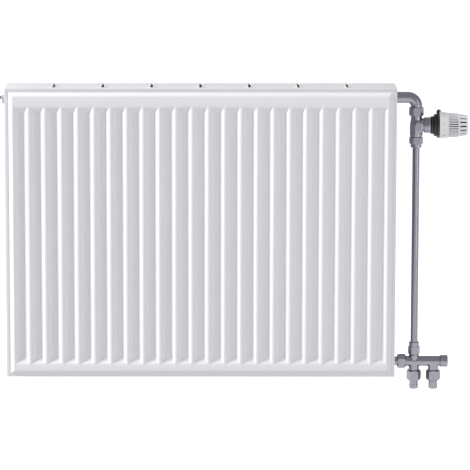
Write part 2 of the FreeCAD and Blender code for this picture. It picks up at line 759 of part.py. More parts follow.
def compression_set(flats, at, end, nut_end, lip, collar_end, collar, sign, spigot="size.spigot_radius"):
    """Make the nut and olive that grip a pipe in a spigot; sign tells which way the pipe leaves."""
    grip = f"{end} {sign} size.olive_length"
    clear = f"{spigot} + size.spigot_play"
    pipe = PIPE_SOCKET
    corner = f"({flats}) / sqrt(3)"
    chamfer = f"{sign} size.nut_chamfer"
    outline = [(nut_end, clear), (nut_end, f"({flats}) / 2"), (f"{nut_end} {chamfer}", corner),
               (f"{lip} {'-' if sign == '+' else '+'} size.nut_chamfer", corner), (lip, f"({flats}) / 2")]
    if collar:
        outline += [(lip, collar), (collar_end, collar), (collar_end, pipe)]
    else:
        outline += [(lip, pipe)]
    outline += [(grip, pipe), (grip, clear)]
    nut = six_sided(outline, flats, at)
    olive = turned([(end, pipe), (end, f"{spigot} - 1"), (grip, f"{spigot} - 1.6"), (grip, pipe)], at)
    return nut, olive


LOWER_LIP = "size.body_foot - size.lower_nut_length"
nut, olive = compression_set("size.lower_nut_flats", RISER, BODY_SPIGOT, "size.body_foot", LOWER_LIP,
                             f"{LOWER_LIP} - size.lower_collar", "size.neck_radius", "-")
node("lower_compression_nut", nut)
olives = [olive]
RISER_FOOT = "size.upper_port_top - size.socket_depth + 1"
node("riser_pipe", ring(RISER_FOOT, "size.body_foot + 2", "size.pipe_bore", "size.pipe_radius", RISER))

# ---------------------------------------------------------------- thermostatic insert

STEM_HOLE = "size.stem_radius + size.stem_play"
node("valve_insert", turned(
    [("size.insert_start", "size.insert_cavity"), ("size.insert_start", "size.insert_radius"),
     ("size.boss_end", "size.insert_radius"), ("size.boss_end", "size.boss_radius"),
     ("size.insert_flange", "size.boss_radius"), ("size.insert_flange", "size.insert_thread"),
     ("size.insert_end", "size.insert_thread"), ("size.insert_end", STEM_HOLE),
     ("size.insert_cavity_end", STEM_HOLE), ("size.insert_cavity_end", "size.insert_cavity")], HEAD, "+X"))
node("valve_stem", turned(
    [("size.plate_start", "0"), ("size.plate_start", "size.plate_radius - 0.3"),
     ("size.plate_end", "size.plate_radius - 0.3"), ("size.plate_end", "size.stem_radius"),
     ("size.stem_end", "size.stem_radius"), ("size.stem_end", "0")], HEAD, "+X"))
node("valve_washer", turned(
    [("size.washer_start", "0"), ("size.washer_start", "size.plate_radius"),
     ("size.plate_start", "size.plate_radius"), ("size.plate_start", "0")], HEAD, "+X"))
node("stem_spring", coil("size.spring_radius", "size.spring_wire", "size.plate_end", "size.insert_cavity_end",
                         6, HEAD, "+X"))

# ---------------------------------------------------------------- thermostatic head

RING_SEAT = "size.ring_end - size.ring_lip"
BASE_FLOOR = "size.base_start + size.base_wall"
node("head_ring_nut", turned(
    [("size.ring_start", "size.ring_bore"), ("size.ring_start", "size.ring_radius"),
     ("size.ring_end", "size.ring_radius"), ("size.ring_end", "size.ring_lip_bore"),
     (RING_SEAT, "size.ring_lip_bore"), (RING_SEAT, "size.ring_bore")], HEAD, "+X"))
base = turned(
    [("size.insert_end", "size.pin_hole"), ("size.insert_end", "size.base_flange_radius"),
     (RING_SEAT, "size.base_flange_radius"), (RING_SEAT, "size.base_neck_radius"),
     ("size.base_start", "size.base_neck_radius"), ("size.base_start", "size.base_radius_one"),
     ("size.base_step_one", "size.base_radius_one"), ("size.base_step_one", "size.base_radius_two"),
     ("size.base_step_two", "size.base_radius_two"), ("size.base_step_two", "size.base_radius_three"),
     ("size.base_end", "size.base_radius_three"), ("size.base_end", "size.sleeve_radius"),
     ("size.sleeve_end", "size.sleeve_radius"), ("size.sleeve_end", "size.sleeve_bore"),
     (BASE_FLOOR, "size.sleeve_bore"), (BASE_FLOOR, "size.pin_hole")], HEAD, "+X")
notch = box((f"{RISER_X} + size.base_step_two - 1", f"{RISER_X} + size.base_end"),
            (f"{MID_Y} - size.pointer_half", f"{MID_Y} + size.pointer_half"),
            ("size.head_z + size.pointer_seat", "size.head_z + size.pointer_top"))
node("head_base", cut(base, notch))

pointer = doc.addObject("PartDesign::Body", "pointer")
outline = closed_sketch(pointer, "XZ_Plane", [
    ("size.base_step_two", "size.pointer_seat"),
    ("size.base_end", "size.pointer_seat"),
    ("size.base_end", "size.pointer_clear - 1"),
    ("size.base_end + 1.5", "size.pointer_clear + 0.8"),
    ("size.pointer_tip - 1", "size.pointer_clear"),
    ("size.pointer_tip", "size.pointer_clear + 0.9"),
    ("size.base_end + 2", "size.pointer_top - 0.6"),
    ("size.base_end - 2", "size.pointer_top"),
    ("size.base_step_two + 1.2", "size.pointer_top - 2"),
])
arm = pointer.newObject("PartDesign::Pad", "arm")
arm.Profile = outline
arm.Midplane = True
bind(arm, Length="2 * size.pointer_half")
node("head_pointer", place(pointer, HEAD))

CAP_BORE = "size.cap_radius + size.cap_play"
node("head_handwheel", turned(
    [("size.wheel_start", "size.wheel_bore"), ("size.wheel_start", "size.wheel_radius"),
     ("size.wheel_band_end", "size.wheel_band_radius"), ("size.wheel_band_end", "size.wheel_rib_radius"),
     ("size.wheel_rib_end", "size.wheel_rib_foot"), ("size.wheel_rib_end", "size.wheel_tail_radius"),
     ("size.wheel_end - size.wheel_chamfer", "size.wheel_end_radius"),
     ("size.wheel_end", "size.wheel_end_radius - size.wheel_chamfer"),
     ("size.wheel_end", CAP_BORE), ("size.cap_start", CAP_BORE),
     ("size.cap_start", "size.wheel_bore")], HEAD, "+X"))
node("head_end_cap", turned(
    [("size.cap_start - 1.5", "0"), ("size.cap_start - 1.5", "size.wheel_bore - 0.3"),
     ("size.cap_start", "size.wheel_bore - 0.3"), ("size.cap_start", "size.cap_radius"),
     ("size.wheel_end - 1", "size.cap_radius"), ("size.wheel_end - 1", "0")], HEAD, "+X"))
node("head_sensor", turned([("size.sensor_start", "0"), ("size.sensor_start", "size.sensor_radius"),
                            ("size.sensor_end", "size.sensor_radius"), ("size.sensor_end", "0")], HEAD, "+X"))
node("head_push_pin", turned(
    [("size.stem_end", "0"), ("size.stem_end", "size.pin_radius"),
     ("size.sensor_start", "size.pin_radius"), ("size.sensor_start", "0")], HEAD, "+X"))
node("head_spring", coil("size.head_spring_radius", "size.head_spring_wire", "size.sensor_end + 1.3",
                         "size.cap_start - 1.5", 3, HEAD, "+X"))

# ---------------------------------------------------------------- manifold

bar = turned([("size.bar_start", "0"), ("size.bar_start", "size.union_spigot"),
              ("size.bar_thread_end", "size.union_spigot"), ("size.bar_thread_end", "size.bar_radius"),
              ("size.bar_end", "size.bar_radius"), ("size.bar_end", "0")], MANIFOLD, "+X")
upper_port = rod("size.upper_port_radius", BOTTOM_PORT, "size.upper_port_top", RISER)
drops = []
drop_bores = []
for x in (RISER_X, RETURN_X):
    drops.append(turned([(BOTTOM_PORT, "0"), (BOTTOM_PORT, "size.drop_radius"),
                         ("size.drop_end", "size.drop_radius"), ("size.drop_end", "size.spigot_radius"),
                         ("size.drop_spigot_end", "size.spigot_radius"), ("size.drop_spigot_end", "0")],
                        (x, MID_Y, "0")))
    drop_bores.append(rod(PIPE_SOCKET, "size.drop_spigot_end", "size.tail_top + 1", (x, MID_Y, "0")))
outside = fuse(bar, upper_port, *drops)
hollows = (rod("size.bar_bore", "size.bar_start", "size.bar_end", MANIFOLD, "+X"),
           rod("size.drop_bore", "size.drop_spigot_end", BOTTOM_PORT, (RETURN_X, MID_Y, "0")),
           *drop_bores)
BAR_SPAN = (f"{BOTTOM_PORT} - size.bar_radius", f"{BOTTOM_PORT} + size.bar_radius")
cross = rod("size.cross_tube_radius", *BAR_SPAN, RISER)
drilled = (rod(PIPE_SOCKET, "size.upper_port_top - size.socket_depth", "size.upper_port_top", RISER),
           rod("size.cross_tube_bore", "size.drop_spigot_end", "size.upper_port_top", RISER))
node("manifold_body", cut(fuse(cut(outside, *hollows), cross), *drilled))

nut, olive = compression_set("size.upper_nut_flats", RISER, "size.upper_port_top", "size.upper_nut_start",
                             "size.upper_nut_end", "size.upper_collar_end", "size.upper_collar_radius", "+",
                             "size.upper_port_radius")
node("manifold_riser_nut", nut)
olives.append(olive)
for name, x in (("flow", RISER_X), ("return", RETURN_X)):
    foot = (x, MID_Y, "0")
    nut, olive = compression_set("size.nut_flats", foot, "size.drop_spigot_end", "size.drop_end",
                                 "size.drop_nut_end", "", "", "-")
    node(f"{name}_pipe_nut", nut)
    olives.append(olive)
    node(f"{name}_pipe_tail", turned(
        [("size.tail_top", "size.tail_bore"), ("size.tail_top", "size.pipe_radius"),
         ("size.drop_nut_end", "size.pipe_radius"), ("size.drop_nut_end", "size.tail_radius"),
         ("size.tail_end + size.tail_chamfer", "size.tail_radius"),
         ("size.tail_end", "size.tail_radius - size.tail_chamfer / 2"), ("size.tail_end", "size.tail_socket"),
         ("size.tail_socket_top", "size.tail_socket"), ("size.tail_socket_top", "size.tail_bore")], foot))
node("pipe_olives", group(olives))

UNION_SEAT = "size.bar_start - size.union_gasket"
UNION_LIP = "size.union_start + size.union_lip"
node("manifold_union_nut", six_sided(
    [("size.union_start", CLEAR_TUBE), ("size.union_start", "size.nut_flats / 2"),
     ("size.union_start + size.nut_chamfer", "size.nut_flats / sqrt(3)"),
     ("size.union_end - size.nut_chamfer", "size.nut_flats / sqrt(3)"),
     ("size.union_end", "size.nut_flats / 2"), ("size.union_end", "size.union_bore"),
     (UNION_LIP, "size.union_bore"), (UNION_LIP, CLEAR_TUBE)], "size.nut_flats", MANIFOLD, "+X"))
node("manifold_gasket", ring(UNION_SEAT, "size.bar_start", "size.tube_bore", "size.bend_collar_radius",
                             MANIFOLD, "+X"))
TO_TEE = f"-({RISER_X})"
tail = fuse(ring(f"size.thread_start {TO_TEE}", f"{THREAD_END} {TO_TEE}", "size.tube_bore",
                 "size.thread_radius", MANIFOLD, "+X"),
            ring(f"size.thread_start {TO_TEE}", UNION_SEAT, "size.tube_bore",
                 "size.tube_radius", MANIFOLD, "+X"),
            ring(f"{SEAL_END} {TO_TEE}", f"size.shoulder_end {TO_TEE}", "size.tube_bore",
                 "size.shoulder_radius", MANIFOLD, "+X"),
            ring(UNION_LIP, UNION_SEAT, "size.tube_bore", "size.bend_collar_radius", MANIFOLD, "+X"))
node("manifold_union_tail", tail)
node("manifold_end_cap", turned(
    [("size.end_cap_plug_start", "size.spindle_bore"), ("size.end_cap_plug_start", "size.end_cap_plug"),
     ("size.bar_end", "size.end_cap_plug"), ("size.bar_end", "size.end_cap_radius"),
     ("size.end_cap_end - 1", "size.end_cap_radius"), ("size.end_cap_end", "size.end_cap_radius - 1"),
     ("size.end_cap_end", "size.spindle_bore")], MANIFOLD, "+X"))
node("balance_spindle", turned(
    [("size.spindle_start", "0"), ("size.spindle_start", "size.spindle_disc"),
     ("size.spindle_disc_end", "size.spindle_disc"), ("size.spindle_disc_end", "size.spindle_radius"),
     ("size.spindle_end", "size.spindle_radius"), ("size.spindle_end", "0")], MANIFOLD, "+X"))

# ---------------------------------------------------------------- check and write

doc.recompute()
for piece in doc.Objects:
    faults = [state for state in piece.State if state in ("Invalid", "Error")]
    if faults:
        raise RuntimeError(f"{piece.Label} ({piece.Name}) failed: {faults}")
os.makedirs("parts", exist_ok=True)
for piece in nodes:
    shape = piece.Shape
    if shape.isNull() or not shape.isValid():
        raise RuntimeError(f"{piece.Label} has no valid shape")
    if not shape.Solids:
        raise RuntimeError(f"{piece.Label} has no solid")
    shape.exportStep(f"parts/{piece.Label}.step")
    print(piece.Label, len(shape.Solids), round(shape.Volume, 1))
print(len(nodes), "nodes")
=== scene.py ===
import json
import math
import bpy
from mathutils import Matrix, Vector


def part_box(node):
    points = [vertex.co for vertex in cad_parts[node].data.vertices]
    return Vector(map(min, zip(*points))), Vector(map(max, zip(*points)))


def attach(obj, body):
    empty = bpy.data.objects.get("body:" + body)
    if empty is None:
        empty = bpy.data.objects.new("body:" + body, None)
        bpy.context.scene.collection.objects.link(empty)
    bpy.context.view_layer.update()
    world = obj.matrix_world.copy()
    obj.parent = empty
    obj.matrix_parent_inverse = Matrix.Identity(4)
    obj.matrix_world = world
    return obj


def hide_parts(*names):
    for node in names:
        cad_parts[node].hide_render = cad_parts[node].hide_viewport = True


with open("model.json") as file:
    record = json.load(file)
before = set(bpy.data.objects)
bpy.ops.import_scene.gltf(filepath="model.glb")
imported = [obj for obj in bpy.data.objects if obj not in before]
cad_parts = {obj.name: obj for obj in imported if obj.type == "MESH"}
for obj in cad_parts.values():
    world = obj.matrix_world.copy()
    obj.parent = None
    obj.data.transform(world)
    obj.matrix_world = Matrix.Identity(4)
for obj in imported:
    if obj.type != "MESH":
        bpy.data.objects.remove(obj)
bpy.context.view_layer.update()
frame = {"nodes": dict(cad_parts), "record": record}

from types import SimpleNamespace

import bmesh
import bpy
import numpy as np
from mathutils import Vector

# The looks of a double-panel steel radiator with its thermostatic valve set.  The packed parts give
# every place; meshes are drawn in millimetres and stored in metres.

bl_info = {
    "name": "Panel Radiator",
    "version": (1, 0, 0),
    "blender": (4, 5, 0),
    "location": "3D View > Sidebar > Radiator",
    "description": "Builds a panel radiator's pressed panels, casings, valve set and studio",
    "category": "Object",
}

MM = 0.001
WELD = 0.00002
TAU = 2 * math.pi
SEGMENTS = 96
RECORD = frame["record"]
BODY_OF = {node: body for body, nodes in RECORD["behaviour"]["bodies"].items() for node in nodes}
SLOT_OF = {part["node"]: part["material_slot"] for part in RECORD["subparts"]}


def box(node):
    """Return a part's lowest and highest corners in millimetres."""
    low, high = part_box(node)
    return low / MM, high / MM


def middle(node):
    """Return the centre of a part's box in millimetres."""
    low, high = box(node)
    return (low + high) / 2


RISER = middle("riser_pipe")
MID_Y = RISER.y
HEAD = Vector((RISER.x, MID_Y, middle("head_sensor").z))
TOP_PORT = middle("top_right_tapping_tee").z
MANIFOLD = Vector((RISER.x, MID_Y, middle("bottom_right_tapping_tee").z))
RETURN_X = middle("return_pipe_tail").x

# ---------------------------------------------------------------- sizes and colours in the sidebar


def linear(code):
    """Turn an sRGB hex colour to linear red, green and blue."""
    channels = [int(code[place:place + 2], 16) / 255 for place in (0, 2, 4)]
    return tuple(c / 12.92 if c <= 0.04045 else ((c + 0.055) / 1.055) ** 2.4 for c in channels)


def length(name, description, size):
    """Describe a length in the sidebar, given in millimetres."""
    return bpy.props.FloatProperty(name=name, description=description, default=size * MM, min=0.0,
                                   precision=4, unit="LENGTH", subtype="DISTANCE")


def count_of(name, description, number):
    """Describe a number of like things in the sidebar."""
    return bpy.props.IntProperty(name=name, description=description, default=number, min=1)


def colour_of(name, description, code):
    """Describe a colour in the sidebar, given as sRGB hex."""
    return bpy.props.FloatVectorProperty(name=name, description=description, default=linear(code),
                                         size=3, min=0.0, max=1.0, subtype="COLOR")


class PanelSizes(bpy.types.PropertyGroup):
    """Sizes of the pressed panels."""

    channels: count_of("Channels", "Water channels across a panel", 24)
    sheet: length("Sheet", "Thickness of the pressed steel", 1.25)
    relief: length("Relief", "How far a channel stands out from the seam flange", 7.5)
    edge: length("Edge", "Width of the flat seam flange", 6)
    rim: length("Rim slope", "Width of the slope inside the flange", 7.5)
    floor: length("Groove floor", "Half the width of a groove's flat floor", 6.4)
    side: length("Side slope", "Width of the slope at a groove's sides", 7)
    foot_slope: length("Foot slope", "Height of the slope at a groove's foot", 11)
    head_slope: length("Head slope", "Height of the slope at a groove's head", 9)
    foot: length("Groove foot", "Height of a groove's foot above the panel's lower edge", 29)
    head: length("Groove head", "Height of a groove's head above the panel's lower edge", 559.5)
    bend: length("Bend", "How far the rounding of a bend reaches to each side", 1.3)
    crest: length("Crest", "How far the rounding of a ridge's shoulders reaches to each side", 2.1)


class CasingSizes(bpy.types.PropertyGroup):
    """Sizes of the top grille and the side casings."""

    sheet: length("Sheet", "Thickness of the casing steel", 1)
    bend: length("Bend", "Outer radius of the folded edges", 2)
    slots: count_of("Slots", "Air slots across the grille", 7)
    pitch: length("Slot pitch", "Distance between slots", 100)
    slot_half: length("Slot half width", "Half the width of an air slot", 2.5)
    slot_reach: length("Slot half length", "Half the length of an air slot", 35)
    bead: length("Bead", "Height of the beads pressed round the slots", 0.35)
    lip_lean: length("Lip lean", "How far the grille's lip leans in at its foot", 0.9)
    port: length("Port", "Radius of the holes for the tappings", 14)


class DialSizes(bpy.types.PropertyGroup):
    """Sizes of the thermostatic head's handwheel."""

    slots: count_of("Slots", "Long slots round the handwheel's tail", 16)
    groove_half: length("Groove half width", "Half the width of a grip groove", 0.95)
    groove_depth: length("Groove depth", "Depth of a grip groove", 4.6)
    slot_half: length("Slot half width", "Half the width of a tail slot", 1.5)
    slot_depth: length("Slot depth", "Depth of a tail slot", 4)
    # The dark core stands in partly for the dark inside seen through the slots and partly for painted shade
    # in the grip grooves.
    core_depth: length("Core depth", "How deep the dark core lies below the grip", 2.2)
    number: length("Number height", "Height of the numbers on the dial", 4.6)


class FinishColours(bpy.types.PropertyGroup):
    """Colours of the radiator's finishes."""

    enamel: colour_of("Enamel", "Stoved enamel of the panels and casings", "F0F0F3")
    primer: colour_of("Primer", "Dip primer on the convector fins", "E2E2E4")
    bracket: colour_of("Bracket coating", "Powder coating of the wall brackets", "E9E9EC")
    nickel: colour_of("Nickel", "Satin nickel plate on the brass fittings", "92929B")
    brass: colour_of("Brass", "Bare brass inside the valve", "B5924E")
    pipe: colour_of("Pipe", "Bright drawn steel riser", "86868F")
    steel: colour_of("Spring steel", "Hard-drawn steel of clips and springs", "8E9096")
    black_plastic: colour_of("Black plastic", "Moulded socket of the head", "1C1C20")
    white_plastic: colour_of("White plastic", "Moulded handwheel", "F2F1F3")
    ink: colour_of("Ink", "Printed numbers of the dial", "6A6A70")
    rubber: colour_of("Rubber", "Seals", "1A1A1B")
    fibre: colour_of("Fibre", "Union gaskets", "6B4A36")
    liner: colour_of("Liner", "Nylon liners of the hooks", "CFCFD2")


class StageSizes(bpy.types.PropertyGroup):
    """Sizes of the studio."""

    floor_drop: length("Floor drop", "How far the floor lies below the radiator's middle", 450)
    reach: length("Reach", "Radius of the studio", 14000)


def read(group):
    """Read a group of sizes, with its lengths in millimetres."""
    values = {}
    for prop in group.bl_rna.properties:
        if prop.type == "FLOAT" and prop.unit == "LENGTH":
            values[prop.identifier] = getattr(group, prop.identifier) / MM
        elif prop.type == "INT":
            values[prop.identifier] = getattr(group, prop.identifier)
    return SimpleNamespace(**values)


# ---------------------------------------------------------------- materials


def put(tree, kind, inputs=None, **settings):
    """Add a node with its settings, and give its inputs values or links."""
    node = tree.nodes.new(kind)
    for name, value in settings.items():
        setattr(node, name, value)
    for name, value in (inputs or {}).items():
        if isinstance(value, bpy.types.NodeSocket):
            tree.links.new(value, node.inputs[name])
        else:
            node.inputs[name].default_value = value
    return node


def surface(name, colour, shade, patch, roughness, grain, relief, stretch=(1, 1, 1), **sockets):
    """Make a finish whose tone and gloss drift over patches and whose skin has a fine grain.

    shade is how dark the darkest patches are, patch and grain are millimetres across, relief is the
    grain's height in millimetres, and stretch squeezes the pattern along each axis.
    """
    material = bpy.data.materials.new(name)
    material.use_nodes = True
    tree = material.node_tree
    tree.nodes.clear()
    place = put(tree, "ShaderNodeTexCoord").outputs["Object"]
    laid = put(tree, "ShaderNodeMapping", {"Vector": place, "Scale": stretch}).outputs["Vector"]
    drift = put(tree, "ShaderNodeTexNoise", {"Vector": laid, "Scale": 1 / (patch * MM), "Detail": 3.0})
    skin = put(tree, "ShaderNodeTexNoise", {"Vector": laid, "Scale": 1 / (grain * MM), "Detail": 2.0})
    dark = (*[c * shade for c in colour], 1)
    tone = put(tree, "ShaderNodeMix", {0: drift.outputs["Fac"], 6: dark, 7: (*colour, 1)}, data_type="RGBA")
    gloss = put(tree, "ShaderNodeMapRange", {"Value": drift.outputs["Fac"], "To Min": roughness[0],
                                             "To Max": roughness[1]})
    bump = put(tree, "ShaderNodeBump", {"Height": skin.outputs["Fac"], "Distance": relief * MM,
                                        "Strength": 1.0})
    look = put(tree, "ShaderNodeBsdfPrincipled", {
        "Base Color": tone.outputs[2], "Roughness": gloss.outputs["Result"],
        "Normal": bump.outputs["Normal"], **sockets})
    put(tree, "ShaderNodeOutputMaterial", {"Surface": look.outputs["BSDF"]})
    return material


# Each slot's finish: its name, its colour in the sidebar, the values of surface and its other sockets.
FINISHES = {
    # Stoved enamel on sheet steel: sprayed and baked, with a soft gloss and a faint orange peel.
    "white_enamel": ("stoved_enamel", "enamel", 0.985, 90, (0.34, 0.42), 2.4, 0.012, {"IOR": 1.5}),
    # Stoved enamel on the grille, darkened as painted shade: it stands in for the shade on the grille's lip.
    "grille_enamel": ("grille_enamel", "enamel", 0.985, 90, (0.34, 0.42), 2.4, 0.012, {"IOR": 1.5}),
    # White dip primer: thin and flat, a little greyer than the top coat.
    "white_primer": ("dip_primer", "primer", 0.94, 40, (0.55, 0.7), 2.0, 0.01, {"IOR": 1.5}),
    # Powder coating: a fine pebbled skin with a satin sheen.
    "bracket_coating": ("bracket_powder_coat", "bracket", 0.97, 30, (0.42, 0.5), 0.9, 0.02, {"IOR": 1.5}),
    # Nickel plate on cast and turned brass: grey, with a soft sheen and faint handling marks.
    "nickel_plate": ("satin_nickel_plate", "nickel", 0.8, 7, (0.2, 0.31), 0.8, 0.006, {"Metallic": 1.0}),
    # Free-cutting brass, turned and left bare: yellow, with a dull shine.
    "bare_brass": ("turned_brass", "brass", 0.85, 6, (0.3, 0.42), 0.6, 0.004, {"Metallic": 1.0}),
    "sensor_capsule": ("turned_brass", "brass", 0.85, 6, (0.3, 0.42), 0.6, 0.004, {"Metallic": 1.0}),
    # Bright drawn steel pipe, plated: faint lines run along it from the die.
    "chromed_pipe": ("plated_drawn_steel", "pipe", 0.9, 3, (0.16, 0.24), 0.7, 0.002,
                     {"stretch": (1, 1, 0.04), "Metallic": 1.0}),
    # Hard-drawn spring steel: a dull grey shine.
    "spring_steel": ("spring_steel", "steel", 0.85, 5, (0.3, 0.45), 0.5, 0.003, {"Metallic": 1.0}),
    # Moulded black nylon: an even satin with a spark-eroded grain.
    "dark_plastic": ("moulded_black_nylon", "black_plastic", 0.8, 12, (0.42, 0.52), 0.5, 0.01, {"IOR": 1.53}),
    # Moulded white ABS: a smooth satin skin.
    "white_plastic": ("moulded_white_abs", "white_plastic", 0.985, 15, (0.32, 0.4), 0.6, 0.004,
                      {"IOR": 1.54}),
    # Pad-printed ink: flat, a little uneven.
    "ink": ("pad_printed_ink", "ink", 0.85, 1.5, (0.55, 0.65), 0.4, 0.002, {"IOR": 1.5}),
    # Moulded EPDM rubber: matt black with a bloom.
    "seal_rubber": ("epdm_rubber", "rubber", 0.7, 4, (0.7, 0.85), 0.5, 0.008, {"IOR": 1.52}),
    # Pressed fibre: brown, flecked and dry.
    "seal_fibre": ("pressed_fibre", "fibre", 0.6, 1.2, (0.8, 0.9), 0.4, 0.03, {"IOR": 1.5}),
    # Moulded natural nylon: milky and satin.
    "liner_plastic": ("moulded_nylon", "liner", 0.94, 8, (0.4, 0.5), 0.6, 0.006, {"IOR": 1.53}),
}
# Painted shade: how far the grille's enamel is darkened beside the panels', standing in for the shade on its
# lip.
GRILLE_PAINTED_SHADE = 0.88
made_finishes = {}


def finish(slot):
    """Return a slot's finish, making it the first time."""
    name, colour, *values, sockets = FINISHES[slot]
    if name not in made_finishes:
        # The grille's enamel is darkened here as painted shade.
        share = GRILLE_PAINTED_SHADE if slot == "grille_enamel" else 1
        tint = [c * share for c in getattr(bpy.context.scene.radiator_colours, colour)]
        made_finishes[name] = surface(name, tint, *values, **sockets)
    return made_finishes[name]


# ---------------------------------------------------------------- mesh tools


def linked(name, data):
    """Make an object of some data and put it in the scene."""
    item = bpy.data.objects.new(name, data)
    bpy.context.scene.collection.objects.link(item)
    return item


def mended(mesh, merge=True, outwards=False, flatten=False):
    """Merge a mesh's doubles, turn its faces outwards, or join the triangles of its flat faces."""
    work = bmesh.new()
    work.from_mesh(mesh)
    if merge:
        bmesh.ops.remove_doubles(work, verts=work.verts, dist=WELD)
    if outwards:
        bmesh.ops.recalc_face_normals(work, faces=work.faces)
    if flatten:
        bmesh.ops.dissolve_limit(work, angle_limit=math.radians(0.5), verts=work.verts, edges=work.edges)
    work.to_mesh(mesh)
    work.free()


def solid(name, vertices, faces, closed=True):
    """Make an object from points in millimetres, merged, with a closed shell's faces outwards."""
    mesh = bpy.data.meshes.new(name)
    mesh.from_pydata([tuple(c * MM for c in vertex) for vertex in vertices], [], faces)
    mended(mesh, outwards=closed)
    return linked(name, mesh)


def baked(piece):
    """Turn a piece's modifiers into a plain mesh."""
    graph = bpy.context.evaluated_depsgraph_get()
    mesh = bpy.data.meshes.new_from_object(piece.evaluated_get(graph))
    piece.modifiers.clear()
    piece.data = mesh
    return piece


def modified(piece, kind, **settings):
    """Add a modifier with its settings and turn it into mesh."""
    modifier = piece.modifiers.new(kind.lower(), kind)
    for name, value in settings.items():
        setattr(modifier, name, value)
    return baked(piece)


def joined(name, pieces):
    """Put several pieces' meshes into one object."""
    work = bmesh.new()
    for piece in pieces:
        work.from_mesh(piece.data)
        bpy.data.objects.remove(piece)
    mesh = bpy.data.meshes.new(name)
    work.to_mesh(mesh)
    work.free()
    return linked(name, mesh)


def walled(piece, sheet):
    """Give a sheet's outer face its wall, inwards."""
    return modified(piece, "SOLIDIFY", thickness=sheet * MM, offset=-1, use_even_offset=True)


def bands(ring, levels):
    """Return the faces between each two rings of points."""
    faces = []
    for start in range(0, ring * levels, ring):
        for place in range(ring):
            beside = (place + 1) % ring
            faces.append([start + place, start + ring + place, start + ring + beside, start + beside])
    return faces


def fit(piece, *nodes, coat=None, extra=False, crease=34):
    """Give a finished piece its material and body, and hide the parts it stands for.

    An extra piece rides with its part and stands for none.
    """
    slot = SLOT_OF[nodes[0]]
    piece.data.materials.clear()
    piece.data.materials.append(finish(coat or slot))
    piece.data.shade_smooth()
    piece.data.set_sharp_from_angle(angle=math.radians(crease))
    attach(piece, BODY_OF[nodes[0]])
    if not extra:
        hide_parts(*nodes)
    return piece


# A point counts as on the axis below this radius in millimetres, and a corner as straight below this turn.
ON_AXIS = 1e-6
STRAIGHT_ON = 0.02


def rounded(outline, reach, steps=3):
    """Round the corners of a closed outline, reaching no further than its sides allow."""
    points = [np.array(point, float) for point in outline]
    result = []
    for index, corner in enumerate(points):
        before = points[index - 1] - corner
        after = points[(index + 1) % len(points)] - corner
        size_before, size_after = np.linalg.norm(before), np.linalg.norm(after)
        turn = abs(before[0] * after[1] - before[1] * after[0]) / (size_before * size_after)
        if corner[1] < ON_AXIS or turn < STRAIGHT_ON:
            result.append(corner)
            continue
        trim = min(reach, 0.45 * size_before, 0.45 * size_after)
        start, end = corner + before / size_before * trim, corner + after / size_after * trim
        for step in range(steps + 1):
            part = step / steps
            result.append((1 - part) ** 2 * start + 2 * part * (1 - part) * corner + part ** 2 * end)
    return result


def dense(outline, step):
    """Add points to a closed outline, so that no side is longer than a step."""
    result = []
    for index, point in enumerate(outline):
        after = outline[(index + 1) % len(outline)]
        parts = max(1, math.ceil(np.linalg.norm(np.subtract(after, point)) / step))
        result += [tuple(np.add(point, np.subtract(after, point) * part / parts)) for part in range(parts)]
    return result


# Each axis with the direction that angles start from and the direction that they turn to.
AXES = {
    "+X": (Vector((1, 0, 0)), Vector((0, 0, 1)), Vector((0, -1, 0))),
    "-X": (Vector((-1, 0, 0)), Vector((0, 0, 1)), Vector((0, 1, 0))),
    "+Z": (Vector((0, 0, 1)), Vector((1, 0, 0)), Vector((0, 1, 0))),
    "-Y": (Vector((0, -1, 0)), Vector((1, 0, 0)), Vector((0, 0, 1))),
}


def straight(centre, axis="+X"):
    """Return the path of a straight axis through a centre."""
    along, first, second = AXES[axis]
    return lambda distance: (Vector(centre) + along * distance, first, second)


# The upright axes of the riser and the return pipe, and the level axes of the head and the manifold.
RISER_LINE = straight((RISER.x, MID_Y, 0), "+Z")
RETURN_LINE = straight((RETURN_X, MID_Y, 0), "+Z")
HEAD_LINE = straight(HEAD)
MANIFOLD_LINE = straight(MANIFOLD)


def spun(name, outline, path, shape=None, angles=None):
    """Turn a closed outline of (along, radius) points round a path; shape may change each radius."""
    whole = angles is None
    if whole:
        angles = np.arange(SEGMENTS) * TAU / SEGMENTS
    vertices, rings = [], []
    for along, radius in outline:
        centre, first, second = path(along)
        if radius < ON_AXIS:
            rings.append([len(vertices)] * len(angles))
            vertices.append(tuple(centre))
            continue
        radii = 0 * angles + (radius if shape is None else shape(angles, along, radius))
        rings.append(list(range(len(vertices), len(vertices) + len(angles))))
        for angle, reach in zip(angles, radii):
            across, up = math.cos(angle) * reach, math.sin(angle) * reach
            vertices.append(tuple(centre + first * across + second * up))
    faces = []
    for index, ring in enumerate(rings):
        following = rings[(index + 1) % len(rings)]
        for place in range(len(angles) if whole else len(angles) - 1):
            beside = (place + 1) % len(angles)
            corners = [ring[place], ring[beside], following[beside], following[place]]
            face = list(dict.fromkeys(corners))
            if len(face) > 2:
                faces.append(face)
    return solid(name, vertices, faces, closed=whole)


def rod(start, end, radius, path):
    """Turn a plain rod, which cuts a bore."""
    return spun("rod", [(start, 0), (start, radius), (end, radius), (end, 0)], path)


def six_flats(flats):
    """Return a shape that cuts six flats, with a corner where the angles start."""
    def cut(angles, along, radius):
        return np.minimum(radius, flats / 2 / np.cos(angles % (TAU / 6) - TAU / 12))
    return cut


def nut_outline(start, end, flats, bore, chamfer=1.6):
    """Return the outline of a hexagon nut with both rims chamfered."""
    corner = flats / math.sqrt(3) * 0.965
    face = flats / 2 * 0.95
    return dense([(start, bore), (start, face), (start + chamfer, corner), (end - chamfer, corner),
                  (end, face), (end, bore)], 0.55)


def block(name, low, high):
    """Make a box between two corners."""
    corners = [(x, y, z) for x in (low[0], high[0]) for y in (low[1], high[1]) for z in (low[2], high[2])]
    faces = [(0, 1, 3, 2), (4, 6, 7, 5), (0, 4, 5, 1), (2, 3, 7, 6), (0, 2, 6, 4), (1, 5, 7, 3)]
    return solid(name, corners, faces)


